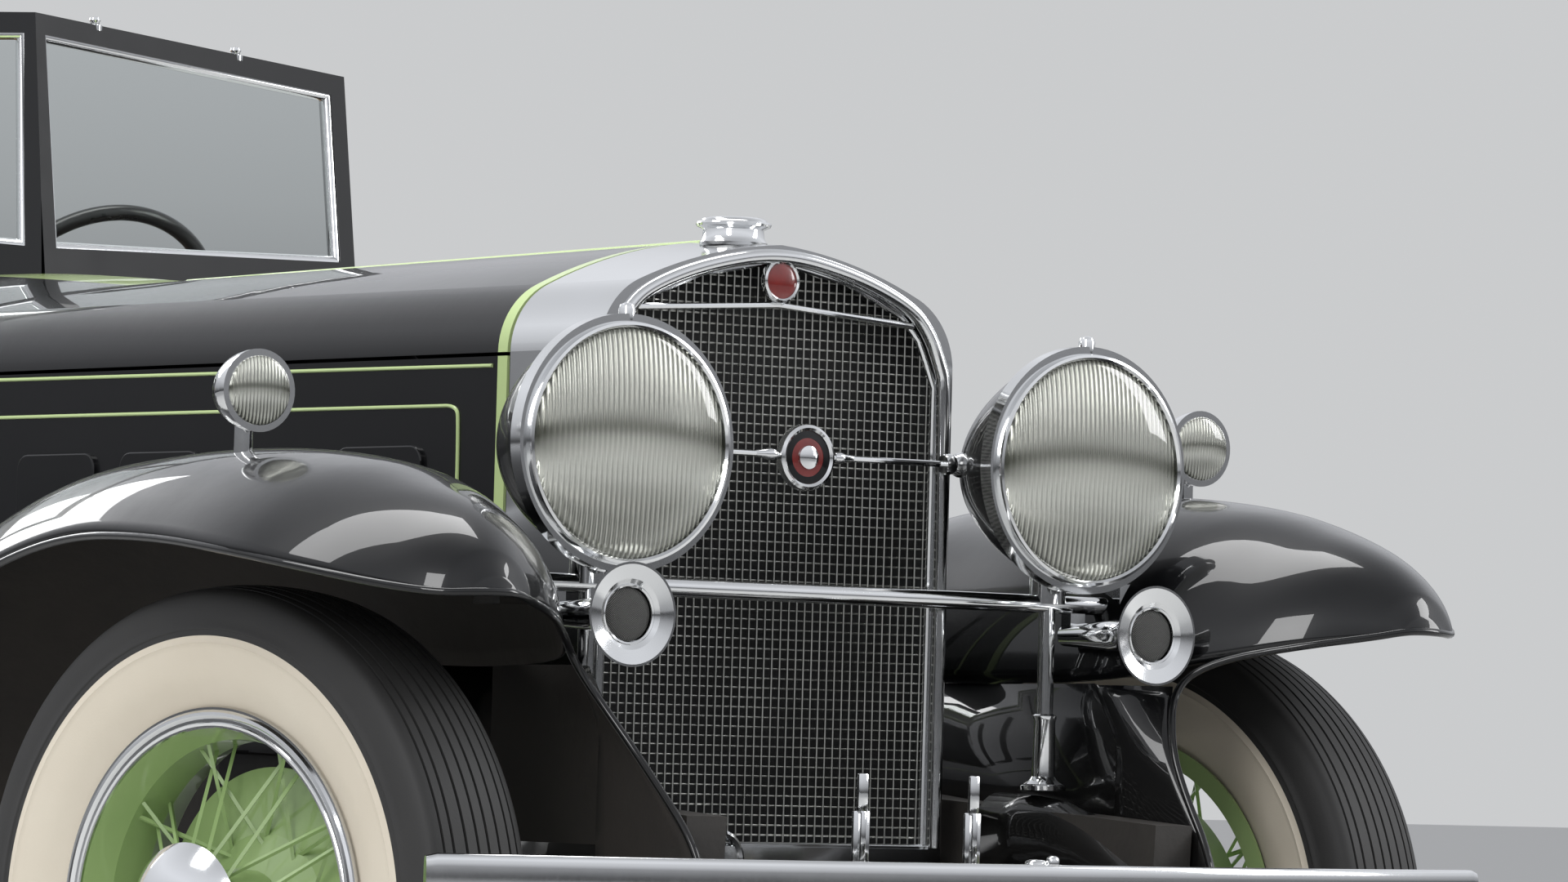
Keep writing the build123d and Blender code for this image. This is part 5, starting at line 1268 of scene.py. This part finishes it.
def flat_panel(bm, side, x, corners):
    bm.faces.new([bm.verts.new(at(side * x, y, z)) for y, z in corners])


panel_x = 0.4095
liner_gap = 0.003
inner_panel = [(-0.250, 0.742), (-0.300, 0.662), (-0.300, 0.520), (0.560, 0.520), (0.600, 0.560),
               (0.600, 0.664), (0.380, 0.718), (0.150, 0.740), (-0.060, 0.740)]
liner_panel = inner_panel[:3] + [(-0.060, 0.520), (-0.060, 0.742)]
underside = plain_coat("underside", (0.010, 0.009, 0.008), 0.85, 30.0, 0.002, (0.060, 0.050, 0.042), 0.8)
fine_stations = smooth_rows(front_stations, 8)
edge = [(x, y, z) for z, _, x, y in valance_rows]
edge += [(x, y, z) for y, _, _, _, _, x, z in front_stations[3::-1]] + [(0.730, -0.539, 0.821)]
edge += [(x, y, z) for y, x, z, _, _, _, _ in front_stations]
for side, word in sides:
    bm = bmesh.new()
    bm.faces.new(crown_grid(bm, side, fine_stations, 36)[0])
    flat_panel(bm, side, panel_x, inner_panel)
    valance_grid(bm, side, 1.0, 0.0)
    skin = pressed("front_fender_skin_" + word, bm, black_enamel, 0.002)
    stand_in(skin, "front_fenders")
    bm = bmesh.new()
    crown_grid(bm, side, fine_stations[6:-4], 30, 0.005)
    valance_grid(bm, side, 0.97, liner_gap)
    flat_panel(bm, side, panel_x + liner_gap, liner_panel)
    pressed("fender_liner_" + word, bm, underside, 0.0015)
    line = [at(side * x, y, z) for x, y, z in edge]
    rod("front_fender_edge_" + word, line, rolled_edge, black_enamel, True, 4)
print("front fenders", len(fine_stations) * 36)

# %% [markdown]
# The radiator shell has a rounded bright edge, so a half-round moulding runs along the middle of its flat
# front. The cap is a low screw with a stepped, slightly domed lid, turned from one profile.

# %% Shell edge and cap
shell_y = skin_point("radiator_shell", at(0.2735, -0.4, 0.80), (0, 1, 0)).y + 0.0015
shell_line = [(0.2735, 0.520), (0.2735, 1.128), (0.2640, 1.157), (0.2450, 1.199), (0.2120, 1.232),
              (0.1210, 1.268), (0.0, 1.2905)]
shell_line += [(-x, z) for x, z in shell_line[-2::-1]]
rod("shell_edge", [(x, shell_y, z) for x, z in shell_line], 0.0098, chrome, True, 5)
cap_low, cap_high = [Vector(corner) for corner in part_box("radiator_cap")]
cap_radius = (cap_high.x - cap_low.x) / 2
cap_tall = cap_high.z - cap_low.z
cap_shape = [(0.0, 0.0), (0.0, 0.88), (0.12, 0.90), (0.20, 0.86), (0.30, 0.82), (0.55, 0.80), (0.60, 0.84),
             (0.66, 0.97), (0.74, 1.0), (0.80, 0.98), (0.82, 0.90), (0.84, 0.88), (0.90, 0.86), (0.95, 0.78),
             (0.975, 0.55), (0.99, 0.30), (1.0, 0.0)]
cap_middle = (cap_low + cap_high) / 2
cap_place = facing((cap_middle.x, cap_middle.y, cap_low.z), (0, 0, 1))
cap = lathe("cap_turned", [(a * cap_tall, r * cap_radius) for a, r in cap_shape], cap_place, steps=64)
stand_in(cap, "radiator_cap")
print("cap", round(cap_radius, 4), round(cap_tall, 4))
